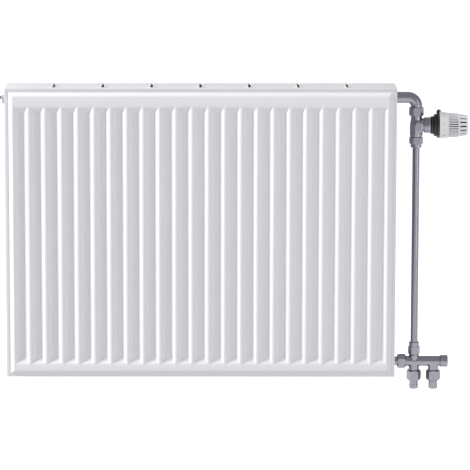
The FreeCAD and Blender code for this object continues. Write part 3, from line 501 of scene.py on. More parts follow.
def drilled(piece, cutters):
    """Take cutters away from a piece."""
    tool = joined("cutters", cutters)
    piece = modified(piece, "BOOLEAN", operation="DIFFERENCE", object=tool, solver="EXACT", use_self=True)
    bpy.data.objects.remove(tool)
    return piece


def cast(name, parts, grid, passes):
    """Melt overlapping solids into one casting with soft inside corners."""
    piece = joined(name, parts)
    piece = modified(piece, "REMESH", mode="VOXEL", voxel_size=grid * MM)
    return modified(piece, "SMOOTH", factor=0.5, iterations=passes)


def eased(name, node, reach):
    """Copy a part, merge its triangles into faces and round its sharp edges."""
    mesh = frame["nodes"][node].data.copy()
    mended(mesh, flatten=True)
    piece = modified(linked(name, mesh), "BEVEL", width=reach * MM, segments=2, limit_method="ANGLE",
                     angle_limit=math.radians(40))
    return fit(piece, node)


# ---------------------------------------------------------------- rows and rings of copies


def copies_tree():
    """Build the node tree that repeats a module in a row or a ring, welds it and coats it."""
    tree = bpy.data.node_groups.new("Row or ring of copies", "GeometryNodeTree")
    face = tree.interface
    for name, kind in (("Module", "NodeSocketGeometry"), ("Count", "NodeSocketInt"),
                       ("First", "NodeSocketVector"), ("Step", "NodeSocketVector"),
                       ("Turn", "NodeSocketVector"), ("Weld", "NodeSocketFloat"),
                       ("Finish", "NodeSocketMaterial")):
        face.new_socket(name, in_out="INPUT", socket_type=kind)
    face.new_socket("Copies", in_out="OUTPUT", socket_type="NodeSocketGeometry")
    given = put(tree, "NodeGroupInput").outputs
    spots = put(tree, "GeometryNodeMeshLine", {"Count": given["Count"], "Start Location": given["First"],
                                               "Offset": given["Step"]}, mode="OFFSET")
    index = put(tree, "GeometryNodeInputIndex")
    turn = put(tree, "ShaderNodeVectorMath", {0: given["Turn"], "Scale": index.outputs[0]},
               operation="SCALE")
    placed = put(tree, "GeometryNodeInstanceOnPoints", {
        "Points": spots.outputs[0], "Instance": given["Module"], "Rotation": turn.outputs[0]})
    real = put(tree, "GeometryNodeRealizeInstances", {"Geometry": placed.outputs[0]})
    weld = put(tree, "GeometryNodeMergeByDistance", {"Geometry": real.outputs[0], "Distance": given["Weld"]})
    coat = put(tree, "GeometryNodeSetMaterial", {"Geometry": weld.outputs[0], "Material": given["Finish"]})
    put(tree, "NodeGroupOutput", {"Copies": coat.outputs[0]})
    return tree


def repeated(piece, coat, count, first=(0, 0, 0), step=(0, 0, 0), turn=(0, 0, 0)):
    """Repeat a module in a row or a ring and turn the result into a plain mesh."""
    tree = bpy.data.node_groups.get("Row or ring of copies") or copies_tree()
    modifier = piece.modifiers.new("copies", "NODES")
    modifier.node_group = tree
    key = {item.name: item.identifier for item in tree.interface.items_tree if item.in_out == "INPUT"}
    modifier[key["Count"]] = count
    for name, vector in (("First", first), ("Step", step)):
        modifier[key[name]] = [value * MM for value in vector]
    modifier[key["Turn"]] = list(turn)
    modifier[key["Weld"]] = WELD
    modifier[key["Finish"]] = finish(coat)
    return baked(piece)


# ---------------------------------------------------------------- pressed panels


def bend_in(run, soft):
    """Follow zero, then a rising line, with the bend between them rounded."""
    return np.where(run >= soft, run, np.clip(run + soft, 0, None) ** 2 / (4 * soft))


def lower_of(first, second, soft):
    """Follow the lower of two slopes, with the mitre between them rounded."""
    return second - bend_in(second - first, soft)


def climb(run, soft_start, soft_end):
    """Rise from 0 to 1 along a slope with both bends rounded."""
    return bend_in(run, soft_start) - bend_in(run - 1, soft_end)


def lines(low, high, sharp, broad, size, zones, end_gap=0.3, gap=0.5):
    """Return grid lines: some round each sharp or broad bend, and more across the zones where slopes meet.

    No line lies closer to an end than end_gap, or to the line before it than gap.
    """
    places = [bend + size.bend * share for bend in sharp for share in (-1, -0.5, 0, 0.5, 1)]
    places += [bend + size.crest * share for bend in broad for share in np.linspace(-1, 1, 5)]
    for start, end in zones:
        places += list(np.linspace(start, end, 6))
    kept = [low]
    for place in sorted(places):
        if low + end_gap < place < high - end_gap and place - kept[-1] > gap:
            kept.append(place)
    return np.array(kept + [high])


def face_height(x, z, tall, size, half_rise, grooved):
    """Return how far a panel's face stands out from its flange at x and z."""
    soft, crest = size.bend / size.side, size.crest / size.side
    foot_run, head_run = (z - size.edge) / size.rim, (tall - size.edge - z) / size.rim
    rim = lower_of(lower_of((half_rise - abs(x)) / size.rim, foot_run, soft), head_run, soft)
    height = climb(rim, soft, soft)
    if grooved:
        side = (size.floor + size.side - abs(x)) / size.side
        foot = (z - size.foot) / size.foot_slope
        head = (size.head - z) / size.head_slope
        height = height - climb(lower_of(lower_of(side, foot, soft), head, soft), crest, soft)
    return size.relief * height


def sheet_grid(name, across, up, foot, flange_y, outward, heights):
    """Make a sheet from grid lines, standing out from its flange by the height at each crossing."""
    vertices = []
    for x, column in zip(across, heights):
        vertices += [(x, flange_y + outward * rise, foot + z) for z, rise in zip(up, column)]
    rows = len(up)
    faces = []
    for column in range(len(across) - 1):
        for row in range(rows - 1):
            corner = column * rows + row
            face = [corner, corner + rows, corner + rows + 1, corner + 1]
            faces.append(face if outward < 0 else face[::-1])
    return solid(name, vertices, faces, closed=False)


# How far a panel's sheet ends short of the radiator's full length at each end, in millimetres.
SIDE_GAP = 2


def press_panel(name, node, outward, size):
    """Press one grooved outer sheet: a one-channel module in a row, and a strip at each end."""
    low, high = box(node)
    tall = high.z - low.z
    pitch = (high.x - low.x + 2 * SIDE_GAP) / size.channels
    flange_y = (low.y if outward < 0 else high.y) - outward * size.relief
    half_rise = high.x - size.edge
    slope_end = size.floor + size.side
    foot_zone = (size.foot, size.foot + size.foot_slope)
    head_zone = (size.head - size.head_slope, size.head)
    low_rim, high_rim = (size.edge, size.edge + size.rim), (tall - size.edge - size.rim, tall - size.edge)
    up = lines(0, tall, [*low_rim, foot_zone[1], head_zone[0], *high_rim], [size.foot, size.head], size,
               [foot_zone, head_zone, low_rim, high_rim])

    def pressed(piece_name, across, grooved):
        """Press the stretch of sheet between the first and last of its upright lines."""
        grid_x, grid_z = np.meshgrid(across, up, indexing="ij")
        heights = face_height(grid_x, grid_z, tall, size, half_rise, grooved)
        return sheet_grid(piece_name, across, up, low.z, flange_y, outward, heights)

    across = lines(-pitch / 2, pitch / 2, [-size.floor, size.floor], [-slope_end, slope_end], size,
                   [(-slope_end, -size.floor), (size.floor, slope_end)])
    grooves = size.channels - 1
    pieces = [repeated(pressed(name, across, True), "white_enamel", grooves,
                       first=(-pitch * (grooves - 1) / 2, 0, 0), step=(pitch, 0, 0))]
    row_end = pitch * grooves / 2
    for sign in (-1, 1):
        ends = lines(row_end, high.x, [half_rise, half_rise - size.rim], [], size,
                     [(half_rise - size.rim, half_rise)])
        pieces.append(pressed("strip", np.sort(sign * ends), False))
    face = joined(name, pieces)
    mended(face.data)
    return fit(walled(face, size.sheet), node)


class RADIATOR_OT_panels(bpy.types.Operator):
    """Press the grooved faces of the two panels"""

    bl_idname = "radiator.panels"
    bl_label = "Pressed Panels"

    def execute(self, context):
        size = read(context.scene.radiator_panel)
        press_panel("front_face_sheet", "front_panel_outer_sheet", -1, size)
        press_panel("rear_face_sheet", "rear_panel_outer_sheet", 1, size)
        return {"FINISHED"}


# ---------------------------------------------------------------- casings


def slot_loop(half, reach, grow, height, steps=8):
    """Return the points of a rounded slot's edge, grown outwards, at a height."""
    radius = half + grow
    straight_end = reach - half
    sides = np.linspace(-straight_end, straight_end, steps + 1)
    arc = np.linspace(0, math.pi, steps + 1)[1:-1]
    points = [(radius, y, height) for y in sides]
    points += [(radius * math.cos(a), straight_end + radius * math.sin(a), height) for a in arc]
    points += [(-radius, y, height) for y in sides[::-1]]
    points += [(-radius * math.cos(a), -straight_end - radius * math.sin(a), height) for a in arc]
    return points


def frame_loop(half_x, half_y, height, steps=8):
    """Return points on a rectangle that pair with a rounded slot's points."""
    sides = np.linspace(-half_y, half_y, steps + 1)
    ends = np.linspace(half_x, -half_x, steps + 1)[1:-1]
    points = [(half_x, y, height) for y in sides] + [(x, half_y, height) for x in ends]
    return points + [(-half_x, y, height) for y in sides[::-1]] + [(-x, -half_y, height) for x in ends]


def edge_rings(face, corner_x, corner_y, profile, centre_y):
    """Fold the rim of a flat face down through (grow, height) steps, with rounded corners."""
    work = bmesh.new()
    work.from_mesh(face.data)

    def on_rim(vertex):
        """Tell whether a point lies on the face's outer edge."""
        off_x = abs(vertex.co.x) - corner_x * MM
        off_y = abs(vertex.co.y - centre_y * MM) - corner_y * MM
        return abs(off_x) < WELD or abs(off_y) < WELD

    rim = [edge for edge in work.edges if edge.is_boundary and all(on_rim(v) for v in edge.verts)]
    loop = [rim[0].verts[0], rim[0].verts[1]]
    left = set(rim[1:])
    while left:
        edge = next(e for e in loop[-1].link_edges if e in left)
        left.remove(edge)
        loop.append(edge.other_vert(loop[-1]))
    loop = loop[:-1] if loop[-1] is loop[0] else loop
    turned_left = sum(a.co.x * b.co.y - b.co.x * a.co.y for a, b in zip(loop, loop[1:] + loop[:1])) > 0
    loop = loop if turned_left else loop[::-1]
    posts = []
    for vertex in loop:
        x, y = vertex.co.x / MM, vertex.co.y / MM - centre_y
        at_x, at_y = abs(abs(x) - corner_x) < 0.01, abs(abs(y) - corner_y) < 0.01
        if at_x and at_y:
            start = {(1, -1): -0.25, (1, 1): 0, (-1, 1): 0.25, (-1, -1): 0.5}[np.sign(x), np.sign(y)]
            posts += [(vertex, math.cos(TAU * (start + share / 20)), math.sin(TAU * (start + share / 20)))
                      for share in range(6)]
        elif at_x:
            posts.append((vertex, math.copysign(1, x), 0))
        else:
            posts.append((vertex, 0, math.copysign(1, y)))
    rings = [[vertex for vertex, _, _ in posts]]
    for grow, height in profile:
        rings.append([work.verts.new((v.co.x + dx * grow * MM, v.co.y + dy * grow * MM, height * MM))
                      for v, dx, dy in posts])
    for inner, outer in zip(rings, rings[1:]):
        for place in range(len(posts)):
            beside = (place + 1) % len(posts)
            corners = list(dict.fromkeys([inner[place], outer[place], outer[beside], inner[beside]]))
            work.faces.new(corners)
    bmesh.ops.recalc_face_normals(work, faces=work.faces)
    work.to_mesh(face.data)
    work.free()
    return face


class RADIATOR_OT_grille(bpy.types.Operator):
    """Press the top grille with its row of beaded air slots"""

    bl_idname = "radiator.grille"
    bl_label = "Top Grille"

    def execute(self, context):
        size = read(context.scene.radiator_casing)
        low, high = box("top_grille")
        top = high.z - size.bead
        flat_x, flat_y = high.x - size.bend, (high.y - low.y) / 2 - size.bend
        centre_y = (low.y + high.y) / 2
        half, reach = size.slot_half, size.slot_reach
        press = [(0, -3), (0, -0.7), (0.2, -0.2), (0.7, 0), (1.2, size.bead), (1.8, size.bead), (2.4, 0),
                 (6.6, 0), (7.1, size.bead), (7.7, size.bead), (8.2, 0)]
        loops = [slot_loop(half, reach, grow, top + rise) for grow, rise in press[:7]]
        loops += [[(x, min(max(y, -flat_y + 1), flat_y - 1), z) for x, y, z in
                   slot_loop(half, reach - 1, grow, top + rise)] for grow, rise in press[7:]]
        loops.append(frame_loop(size.pitch / 2, flat_y, top))
        vertices = [(x, y + centre_y, z) for loop in loops for x, y, z in loop]
        ring = len(loops[0])
        module = solid("grille_cover", vertices, bands(ring, len(loops) - 1), closed=False)
        start = -size.pitch * (size.slots - 1) / 2
        row = repeated(module, "white_enamel", size.slots, first=(start, 0, 0), step=(size.pitch, 0, 0))
        ends = []
        row_end = size.pitch * size.slots / 2
        sides = np.linspace(-flat_y, flat_y, 9)
        for sign in (-1, 1):
            across = sorted((sign * row_end, sign * flat_x))
            points = [(x, y + centre_y, top) for x in across for y in sides]
            ends.append(solid("end", points, [[k, k + 9, k + 10, k + 1] for k in range(8)], closed=False))
        flat = joined("grille_cover", [row, *ends])
        mended(flat.data)
        bend = [(size.bend * math.sin(a), top - size.bend * (1 - math.cos(a)))
                for a in np.linspace(0, math.pi / 2, 6)[1:]]
        fold = [(size.bend, top - size.bend - 0.4), (size.bend - size.lip_lean * 0.5, (top + low.z) / 2 - 1),
                (size.bend - size.lip_lean, low.z + 0.4), (size.bend - size.lip_lean - 0.2, low.z)]
        cover = walled(edge_rings(flat, flat_x, flat_y, bend + fold, centre_y), size.sheet)
        # The grille takes the enamel darkened as painted shade.
        fit(cover, "top_grille", coat="grille_enamel")
        return {"FINISHED"}


class RADIATOR_OT_side_panels(bpy.types.Operator):
    """Fold the two side casings with their holes for the tappings"""

    bl_idname = "radiator.side_panels"
    bl_label = "Side Panels"

    def execute(self, context):
        size = read(context.scene.radiator_casing)
        for name, node, sign in (("left_casing", "left_side_panel", -1),
                                 ("right_casing", "right_side_panel", 1)):
            low, high = box(node)
            outside, inside = (high.x, low.x) if sign > 0 else (low.x, high.x)
            path = [(inside, low.y), (outside, low.y), (outside, high.y), (inside, high.y)]
            bent = [path[0]]
            for corner, before, after in ((path[1], path[0], path[2]), (path[2], path[1], path[3])):
                corner = np.array(corner)
                start = corner + np.sign(np.subtract(before, corner)) * size.bend
                end = corner + np.sign(np.subtract(after, corner)) * size.bend
                for part in np.linspace(0, 1, 6):
                    left = 1 - part
                    bent.append(tuple(left ** 2 * start + 2 * part * left * corner + part ** 2 * end))
            bent.append(path[3])
            vertices = [(x, y, z) for z in (low.z, high.z) for x, y in bent]
            count = len(bent)
            faces = [[k, k + 1, count + k + 1, count + k] for k in range(count - 1)]
            if sign < 0:
                faces = [face[::-1] for face in faces]
            casing = walled(solid(name, vertices, faces, closed=False), size.sheet)
            axis = "+X" if sign > 0 else "-X"
            ports = [rod(300, 420, size.port, straight((0, MID_Y, z), axis)) for z in (TOP_PORT, MANIFOLD.z)]
            fit(drilled(casing, ports), node)
        return {"FINISHED"}


class RADIATOR_OT_hangers(bpy.types.Operator):
    """Ease the edges of the wall brackets, hanging lugs, hook liners and grille clips"""

    bl_idname = "radiator.hangers"
    bl_label = "Brackets and Lugs"

    def execute(self, context):
        for name, node, reach in (("left_hanging_bracket", "left_wall_bracket", 0.6),
                                  ("right_hanging_bracket", "right_wall_bracket", 0.6),
                                  ("welded_lugs", "hanging_lugs", 0.6),
                                  ("hook_liners", "bracket_liners", 0.4),
                                  ("spring_clips", "grille_clips", 0.2)):
            eased(name, node, reach)
        return {"FINISHED"}


# ---------------------------------------------------------------- tappings and air vent


class RADIATOR_OT_tappings(bpy.types.Operator):
    """Round off the tapping tees, the plugs and the air vent"""

    bl_idname = "radiator.tappings"
    bl_label = "Tappings and Air Vent"

    def execute(self, context):
        for level in ("top", "bottom"):
            for side in ("left", "right"):
                eased(f"{level}_{side}_tee", f"{level}_{side}_tapping_tee", 0.4)
        eased("vent_plug", "air_vent_plug", 0.5)
        eased("blind_plug", "blanking_plug", 0.5)
        eased("vent_nozzle_cap", "air_vent_nozzle", 0.5)
        eased("bleed_screw", "air_vent_screw", 0.3)
        return {"FINISHED"}


# ---------------------------------------------------------------- valve and riser


class RADIATOR_OT_bend(bpy.types.Operator):
    """Bend the tube from the top tapping down to the valve"""

    bl_idname = "radiator.bend"
    bl_label = "Connecting Bend"

    def execute(self, context):
        low, high = box("connecting_bend")
        tube = high.x - RISER.x
        centre_reach = 17.6
        bore = 7.5
        run = RISER.x - centre_reach - low.x
        arc = centre_reach * math.pi / 2
        total = run + arc + (TOP_PORT - centre_reach - low.z)

        def path(distance):
            """Run along X, round the quarter turn and down."""
            if distance <= run:
                return Vector((low.x + distance, MID_Y, TOP_PORT)), Vector((0, 0, 1)), Vector((0, -1, 0))
            angle = min((distance - run) / centre_reach, math.pi / 2)
            outwards = Vector((math.sin(angle), 0, math.cos(angle)))
            corner = Vector((RISER.x - centre_reach, MID_Y, TOP_PORT - centre_reach))
            below = Vector((0, 0, -max(0, distance - run - arc)))
            return corner + outwards * centre_reach + below, outwards, Vector((0, -1, 0))

        neck, shoulder, thread_end = 12.4, (16, 19), 13
        outline = [(0, bore), (0, 10.3), (thread_end, 10.3), (thread_end, tube), (shoulder[0], tube),
                   (shoulder[0], neck), (shoulder[1], neck), (shoulder[1], tube), (total - 3, tube),
                   (total - 3, 11.8), (total, 11.8), (total, bore)]
        fit(spun("bend_tube", dense(rounded(outline, 0.5), 1.6), path), "connecting_bend")
        return {"FINISHED"}


class RADIATOR_OT_nuts(bpy.types.Operator):
    """Cut the hexagon nuts of the bend, the riser and the pipe tails"""

    bl_idname = "radiator.nuts"
    bl_label = "Hexagon Nuts"

    def execute(self, context):
        self.cut("bend_nut", "upper_union_nut", RISER_LINE, 12.4)
        low, high = box("lower_compression_nut")
        flats, lip, collar, chamfer = high.y - low.y, 179, 11.5, 0.8
        skirt = [(low.z, 7.6), (low.z, collar - chamfer), (low.z + chamfer, collar), (lip, collar)]
        outline = dense(skirt, 1) + nut_outline(lip, high.z, flats, 10.8)[2:-1] + [(high.z, 10.8), (lip, 7.6)]
        self.turn("valve_foot_nut", "lower_compression_nut", RISER_LINE, outline, flats)
        low, high = box("manifold_riser_nut")
        flats, lip, collar = high.y - low.y, -242.7, 10.5
        skirt = [(lip, collar), (high.z - chamfer, collar), (high.z, collar - chamfer), (high.z, 7.6),
                 (lip, 7.6)]
        outline = nut_outline(low.z, lip, flats, 10.3)[:-2] + skirt
        self.turn("riser_foot_nut", "manifold_riser_nut", RISER_LINE, outline, flats)
        self.cut("flow_nut", "flow_pipe_nut", RISER_LINE, 10.7, 2.6)
        self.cut("return_nut", "return_pipe_nut", RETURN_LINE, 10.7, 2.6)
        self.cut("union_nut", "manifold_union_nut", MANIFOLD_LINE, 12.3, 2.4)
        return {"FINISHED"}

    def cut(self, name, node, path, bore, chamfer=1.6):
        """Turn a plain nut as long as its part and cut its six flats."""
        low, high = box(node)
        level = path is MANIFOLD_LINE
        ends = (low.x - RISER.x, high.x - RISER.x) if level else (low.z, high.z)
        flats = high.y - low.y
        self.turn(name, node, path, nut_outline(*ends, flats, bore, chamfer), flats)

    def turn(self, name, node, path, outline, flats):
        """Turn a nut from its outline and cut its six flats."""
        fit(spun(name, outline, path, six_flats(flats)), node, crease=25)


class RADIATOR_OT_valve(bpy.types.Operator):
    """Cast the valve body and draw the riser"""

    bl_idname = "radiator.valve"
    bl_label = "Valve and Riser"

    def execute(self, context):
        neck = rounded([(184, 0), (184, 10.5), (194, 10.5), (194, 13), (203, 13.4), (218, 13.5),
                        (226, 12.2), (229, 11.5), (238, 11.5), (238, 12), (244.5, 12), (244.5, 0)], 1.5)
        boss = rounded([(0, 0), (0, 13), (6, 13.2), (9, 14.2), (14, 14.4), (14, 0)], 0.6)
        badge = rounded([(6, 0), (6, 9.5), (14.2, 8.4), (14.9, 6.5), (14.9, 0)], 0.8)
        oval = spun("badge", badge, straight((RISER.x + 3.5, MID_Y, HEAD.z - 3), "-Y"),
                    lambda angles, along, radius: radius * (1 + 0.5 * np.sin(angles) ** 2))
        solids = [spun("neck", neck, RISER_LINE), spun("boss", boss, HEAD_LINE), oval]
        body = cast("valve_casting", solids, grid=0.5, passes=6)
        ways = [rod(180, 196, 7.6, RISER_LINE), rod(-3, 16, 9, HEAD_LINE), rod(218, 250, 6.5, RISER_LINE)]
        fit(drilled(body, ways), "valve_body", crease=50)
        low, high = box("riser_pipe")
        tube = [(low.z, 6.7), (low.z, 7.5), (high.z, 7.5), (high.z, 6.7)]
        fit(spun("riser_tube", dense(tube, 20), RISER_LINE), "riser_pipe")
        return {"FINISHED"}


# ---------------------------------------------------------------- thermostatic head


class RADIATOR_OT_head_socket(bpy.types.Operator):
    """Turn the head's ring nut and mould its stepped socket and pointer"""

    bl_idname = "radiator.head_socket"
    bl_label = "Head Socket"

    def execute(self, context):
        ring = [(16, 12.1), (16, 15.2), (17.2, 16.3), (20.5, 16.6), (21.2, 15.7), (22.4, 15.7), (23.1, 16.6),
                (28.4, 16.6), (29.4, 15.8), (29.4, 9), (28.2, 9), (28.2, 12.1)]

        def knurl(angles, along, radius):
            """Cut shallow flutes into the broad grip band."""
            grip = 23.2 < along < 28.3 and radius > 16
            return radius - (0.35 * (0.5 + 0.5 * np.cos(angles * 24)) if grip else 0)

        fit(spun("head_nut", dense(rounded(ring, 0.3), 1), HEAD_LINE, knurl), "head_ring_nut")
        socket = [(26.7, 4), (26.7, 11.4), (28.2, 11.4), (28.2, 8.6), (30, 8.6), (30, 17.9), (30.6, 18.5),
                  (34.6, 18.5), (35.3, 17.8), (35.9, 17.8), (36.1, 22.3), (36.9, 23), (40.4, 23),
                  (41, 22.2), (41.7, 22.2), (41.9, 25.2), (42.7, 26), (46, 26), (46.6, 25.4),
                  (46.6, 16.5), (62, 16.5), (62, 14.6), (31.5, 14.6), (31.5, 4)]
        fit(spun("head_socket", rounded(socket, 0.25, 2), HEAD_LINE), "head_base")
        pointer = [(41, 24.5), (46.6, 24.5), (46.6, 27.2), (48.1, 29), (50.3, 28.3), (51.3, 29.1),
                   (49, 31.2), (46.6, 32.2), (44, 32.2), (42.2, 30.6), (41, 27.6)]
        outline = rounded(pointer, 0.8)
        count = len(outline)
        widths = [(-3.5, 0.3), (-3.2, 0), (3.2, 0), (3.5, 0.3)]
        centre = np.mean(outline, axis=0)
        vertices = []
        for y, shrink in widths:
            for point in outline:
                inwards = (centre - point) / np.linalg.norm(centre - point) * shrink
                vertices.append((HEAD.x + point[0] + inwards[0], MID_Y + y, HEAD.z + point[1] + inwards[1]))
        ends = [list(range(count)), list(range(3 * count, 4 * count))[::-1]]
        fit(solid("dial_pointer", vertices, ends + bands(count, 3)), "head_pointer")
        return {"FINISHED"}


# Where the handwheel's zones start and end along its axis, and its radii there.
WHEEL = [(46.9, 27.2), (48, 27.5), (63, 26.1), (64, 25.4), (86.5, 24), (87.2, 23.1), (102.7, 21.2),
         (104.7, 19.2)]
GRIP, TAIL = (65.4, 85.6), (88.6, 102)
# How far a groove takes to reach its depth at its ends, and how far and how fast at its sides.
END_RUN = 0.8
SIDE_START, SIDE_RUN = 0.3, 0.5
# Points nearer to the axis than this are the handwheel's inside.
INSIDE = 18.9


def wheel_radius(along):
    """Return the handwheel's radius at a place along its axis."""
    return float(np.interp(along, *zip(*WHEEL)))


def in_zone(along, zone):
    """Return 1 inside a zone along the axis and 0 outside, with soft ends."""
    return min(1, max(0, (along - zone[0]) / END_RUN)) * min(1, max(0, (zone[1] - along) / END_RUN))


class RADIATOR_OT_handwheel(bpy.types.Operator):
    """Mould the handwheel from one grip sector in a ring, print its numbers and close its end"""

    bl_idname = "radiator.handwheel"
    bl_label = "Handwheel"

    def execute(self, context):
        size = read(context.scene.radiator_dial)
        sector = TAU / size.slots
        rib = sector / 2

        def carve(angles, along, radius):
            """Cut the grip grooves and the longer tail slots."""
            if radius < 18.5:
                return radius
            cuts = []
            for every, half, depth, zone in ((rib, size.groove_half, size.groove_depth, GRIP),
                                             (sector, size.slot_half, size.slot_depth, TAIL)):
                off = abs((angles + every / 2) % every - every / 2) * radius
                inside = np.clip((half + SIDE_START - off) / SIDE_RUN, 0, 1)
                cuts.append(depth * in_zone(along, zone) * inside)
            return radius - np.maximum(*cuts)

        edge = [size.groove_half - 0.25, size.groove_half + 0.3, size.slot_half - 0.25, size.slot_half + 0.35]
        half_lines = sorted({0, rib, *[e / 24 for e in edge[:2]], *[rib - e / 24 for e in edge[:2]],
                             *[e / 22 for e in edge[2:]], rib / 2})
        angles = np.array(sorted({a for line in half_lines for a in (-line, line)}))
        outer = [(46.9, 17.3)] + WHEEL + [(104.7, 15), (99, 15), (99, 17.3)]
        outline = [tuple(point) for point in dense(rounded(outer, 0.5), 2.4)]
        extra = [(place, wheel_radius(place)) for start, end in (GRIP, TAIL)
                 for place in (start, start + END_RUN, end - END_RUN, end)]
        front = [p for p in outline if p[1] > INSIDE]
        rest = [p for p in outline if p[1] <= INSIDE]
        front = sorted(front + extra, key=lambda p: (round(p[0], 3), -p[1] if p[0] > 100 else p[1]))
        module = spun("dial_wheel", front + rest, straight((0, 0, 0)), carve, angles)
        wheel = repeated(module, "white_plastic", size.slots, first=HEAD, turn=(sector, 0, 0))
        mended(wheel.data, merge=False, outwards=True)
        fit(wheel, "head_handwheel")
        # A dark ring under the grip: partly the dark inside seen through the open slots, partly painted shade
        # in the grip grooves.
        core = [(GRIP[0] - 0.6, 18), *[(along, radius - size.core_depth) for along, radius in (
            (GRIP[0] - 0.6, 25.3), (86.5, 24), (87.2, 23.1), (TAIL[1] + 0.4, 21.3))], (TAIL[1] + 0.4, 18)]
        fit(spun("dial_core", core, HEAD_LINE), "head_handwheel", coat="dark_plastic", extra=True)
        cap = [(97.5, 0), (97.5, 17), (99, 17), (99, 14.8), (103.2, 14.8), (103.7, 14.3), (103.7, 11.5),
               (103.3, 11), (103.3, 0)]
        fit(spun("dial_cap", rounded(cap, 0.3), HEAD_LINE), "head_end_cap")
        self.print_numbers(size)
        return {"FINISHED"}

    def print_numbers(self, size):
        """Wrap plain numbers round the smooth band, with a dot between each two."""
        middle_along = 55.5
        first, apart = 135, 57
        marks = [(str(number), first - apart * number, size.number) for number in range(6)]
        marks += [("•", first - apart * (number + 0.5), size.number * 0.7) for number in range(5)]
        pieces = []
        for text, degrees, tall in marks:
            curve = bpy.data.curves.new("number", "FONT")
            curve.body = text
            curve.size = tall * 1.4
            curve.extrude = 0.06
            curve.align_x, curve.align_y = "CENTER", "CENTER"
            curve.resolution_u = 4
            letter = linked("number", curve)
            bpy.context.view_layer.update()
            graph = bpy.context.evaluated_depsgraph_get()
            mesh = bpy.data.meshes.new_from_object(letter.evaluated_get(graph))
            bpy.data.objects.remove(letter)
            for vertex in mesh.vertices:
                across, up, lift = vertex.co
                along = middle_along - up
                radius = wheel_radius(along) + 0.02 + lift
                angle = math.radians(degrees) - across / radius
                vertex.co = Vector((HEAD.x + along, MID_Y - math.sin(angle) * radius,
                                    HEAD.z + math.cos(angle) * radius)) * MM
            pieces.append(linked("number", mesh))
        numbers = joined("dial_numbers", pieces)
        mended(numbers.data)
        fit(numbers, "head_handwheel", coat="ink", extra=True)


# ---------------------------------------------------------------- manifold


class RADIATOR_OT_manifold(bpy.types.Operator):
    """Cast the manifold, and turn its union tail, end cap and pipe tails"""

    bl_idname = "radiator.manifold"
    bl_label = "Manifold"

    def execute(self, context):
        bar = rounded([(-28.5, 0), (-28.5, 12.1), (-17.6, 12.1), (-17.6, 10.6), (53.8, 10.6), (53.8, 0)], 0.4)
        port = [(-275, 0), (-275, 10.4), (-262, 10.4), (-260.4, 10), (-250, 10), (-250, 0)]
        drop = rounded([(-304, 0), (-304, 10.5), (-293.4, 10.5), (-293.4, 10.8), (-275, 10.8),
                        (-275, 0)], 0.3)
        solids = [spun("bar", bar, MANIFOLD_LINE), spun("port", port, RISER_LINE),
                  spun("drop", drop, RISER_LINE), spun("drop", drop, RETURN_LINE)]
        body = cast("manifold_casting", solids, grid=0.55, passes=5)
        way = 7.6
        ways = [rod(-40, -14, 7.5, MANIFOLD_LINE), rod(41.5, 60, 7.5, MANIFOLD_LINE),
                rod(-262, -245, way, RISER_LINE), rod(-310, -298, way, RISER_LINE),
                rod(-310, -298, way, RETURN_LINE)]
        fit(drilled(body, ways), "manifold_body", crease=50)
        low, high = box("manifold_union_tail")
        start, end = low.x - RISER.x, high.x - RISER.x
        tail = [(start, 7.5), (start, 10.3), (start + 13, 10.3), (start + 13, 9.3), (start + 16, 9.3),
                (start + 16, 12.4), (start + 19, 12.4), (start + 19, 9.3), (-33, 9.3), (-33, 11.8),
                (end, 11.8), (end, 7.5)]
        fit(spun("union_tail_tube", rounded(tail, 0.3), MANIFOLD_LINE), "manifold_union_tail")
        cap = [(47, 3.3), (47, 7.3), (53.8, 7.3), (53.8, 11.6), (54.6, 12.4), (59, 12.4), (59.6, 11.9),
               (60.6, 11.9), (61.2, 12.4), (68.8, 12.4), (69.8, 11.4), (69.8, 3.3)]
        fit(spun("balance_cap", rounded(cap, 0.3), MANIFOLD_LINE), "manifold_end_cap")
        profile = [(-332.5, 7.55), (-332.5, 8.6), (-331, 9.5), (-324.5, 9.5), (-323.8, 9), (-314.5, 9),
                   (-314.5, 7.5), (-299, 7.5), (-299, 6), (-316, 6), (-316, 7.55)]
        fluted = [(-332.5, 7.55), (-332.5, 8.6), (-331, 9.5), (-316, 9.5), (-314.5, 8.8), (-314.5, 7.5),
                  (-299, 7.5), (-299, 6), (-316, 6), (-316, 7.55)]

        def flutes(angles, along, radius):
            """Cut sixteen flutes into the tail's outer face."""
            cut = -331.2 < along < -315 and radius > 9
            return radius - (0.45 * (0.5 + 0.5 * np.cos(angles * 16)) ** 2 if cut else 0)

        def facets(angles, along, radius):
            """Cut eight flats into the lower ring."""
            return np.minimum(radius, 9.1 / np.cos(angles % (TAU / 8) - TAU / 16)) if along < -324 else radius

        for name, outline, path, shape, node in (
                ("flow_tail", profile, RISER_LINE, facets, "flow_pipe_tail"),
                ("return_tail", fluted, RETURN_LINE, flutes, "return_pipe_tail")):
            fit(spun(name, dense(rounded(outline, 0.3), 1.5), path, shape), node)
        return {"FINISHED"}


# ---------------------------------------------------------------- kept parts


class RADIATOR_OT_kept_parts(bpy.types.Operator):
    """Coat the packed parts that keep their own shape"""

    bl_idname = "radiator.kept_parts"
    bl_label = "Kept Parts"

    def execute(self, context):
        for name, part in frame["nodes"].items():
            coat = finish(SLOT_OF[name])
            if not part.material_slots:
                part.data.materials.append(coat)
            for slot in part.material_slots:
                slot.material = coat
        return {"FINISHED"}


# ---------------------------------------------------------------- studio


def studio_white(strength):
    """White studio paint under even floodlight: it glows just enough to stay clean."""
    material = surface("studio_white_paint", linear("FFFFFF"), 0.99, 900, (0.85, 0.95), 30, 0.1)
    look = next(n for n in material.node_tree.nodes if n.type == "BSDF_PRINCIPLED")
    look.inputs["Emission Color"].default_value = (1, 1, 1, 1)
    look.inputs["Emission Strength"].default_value = strength
    return material


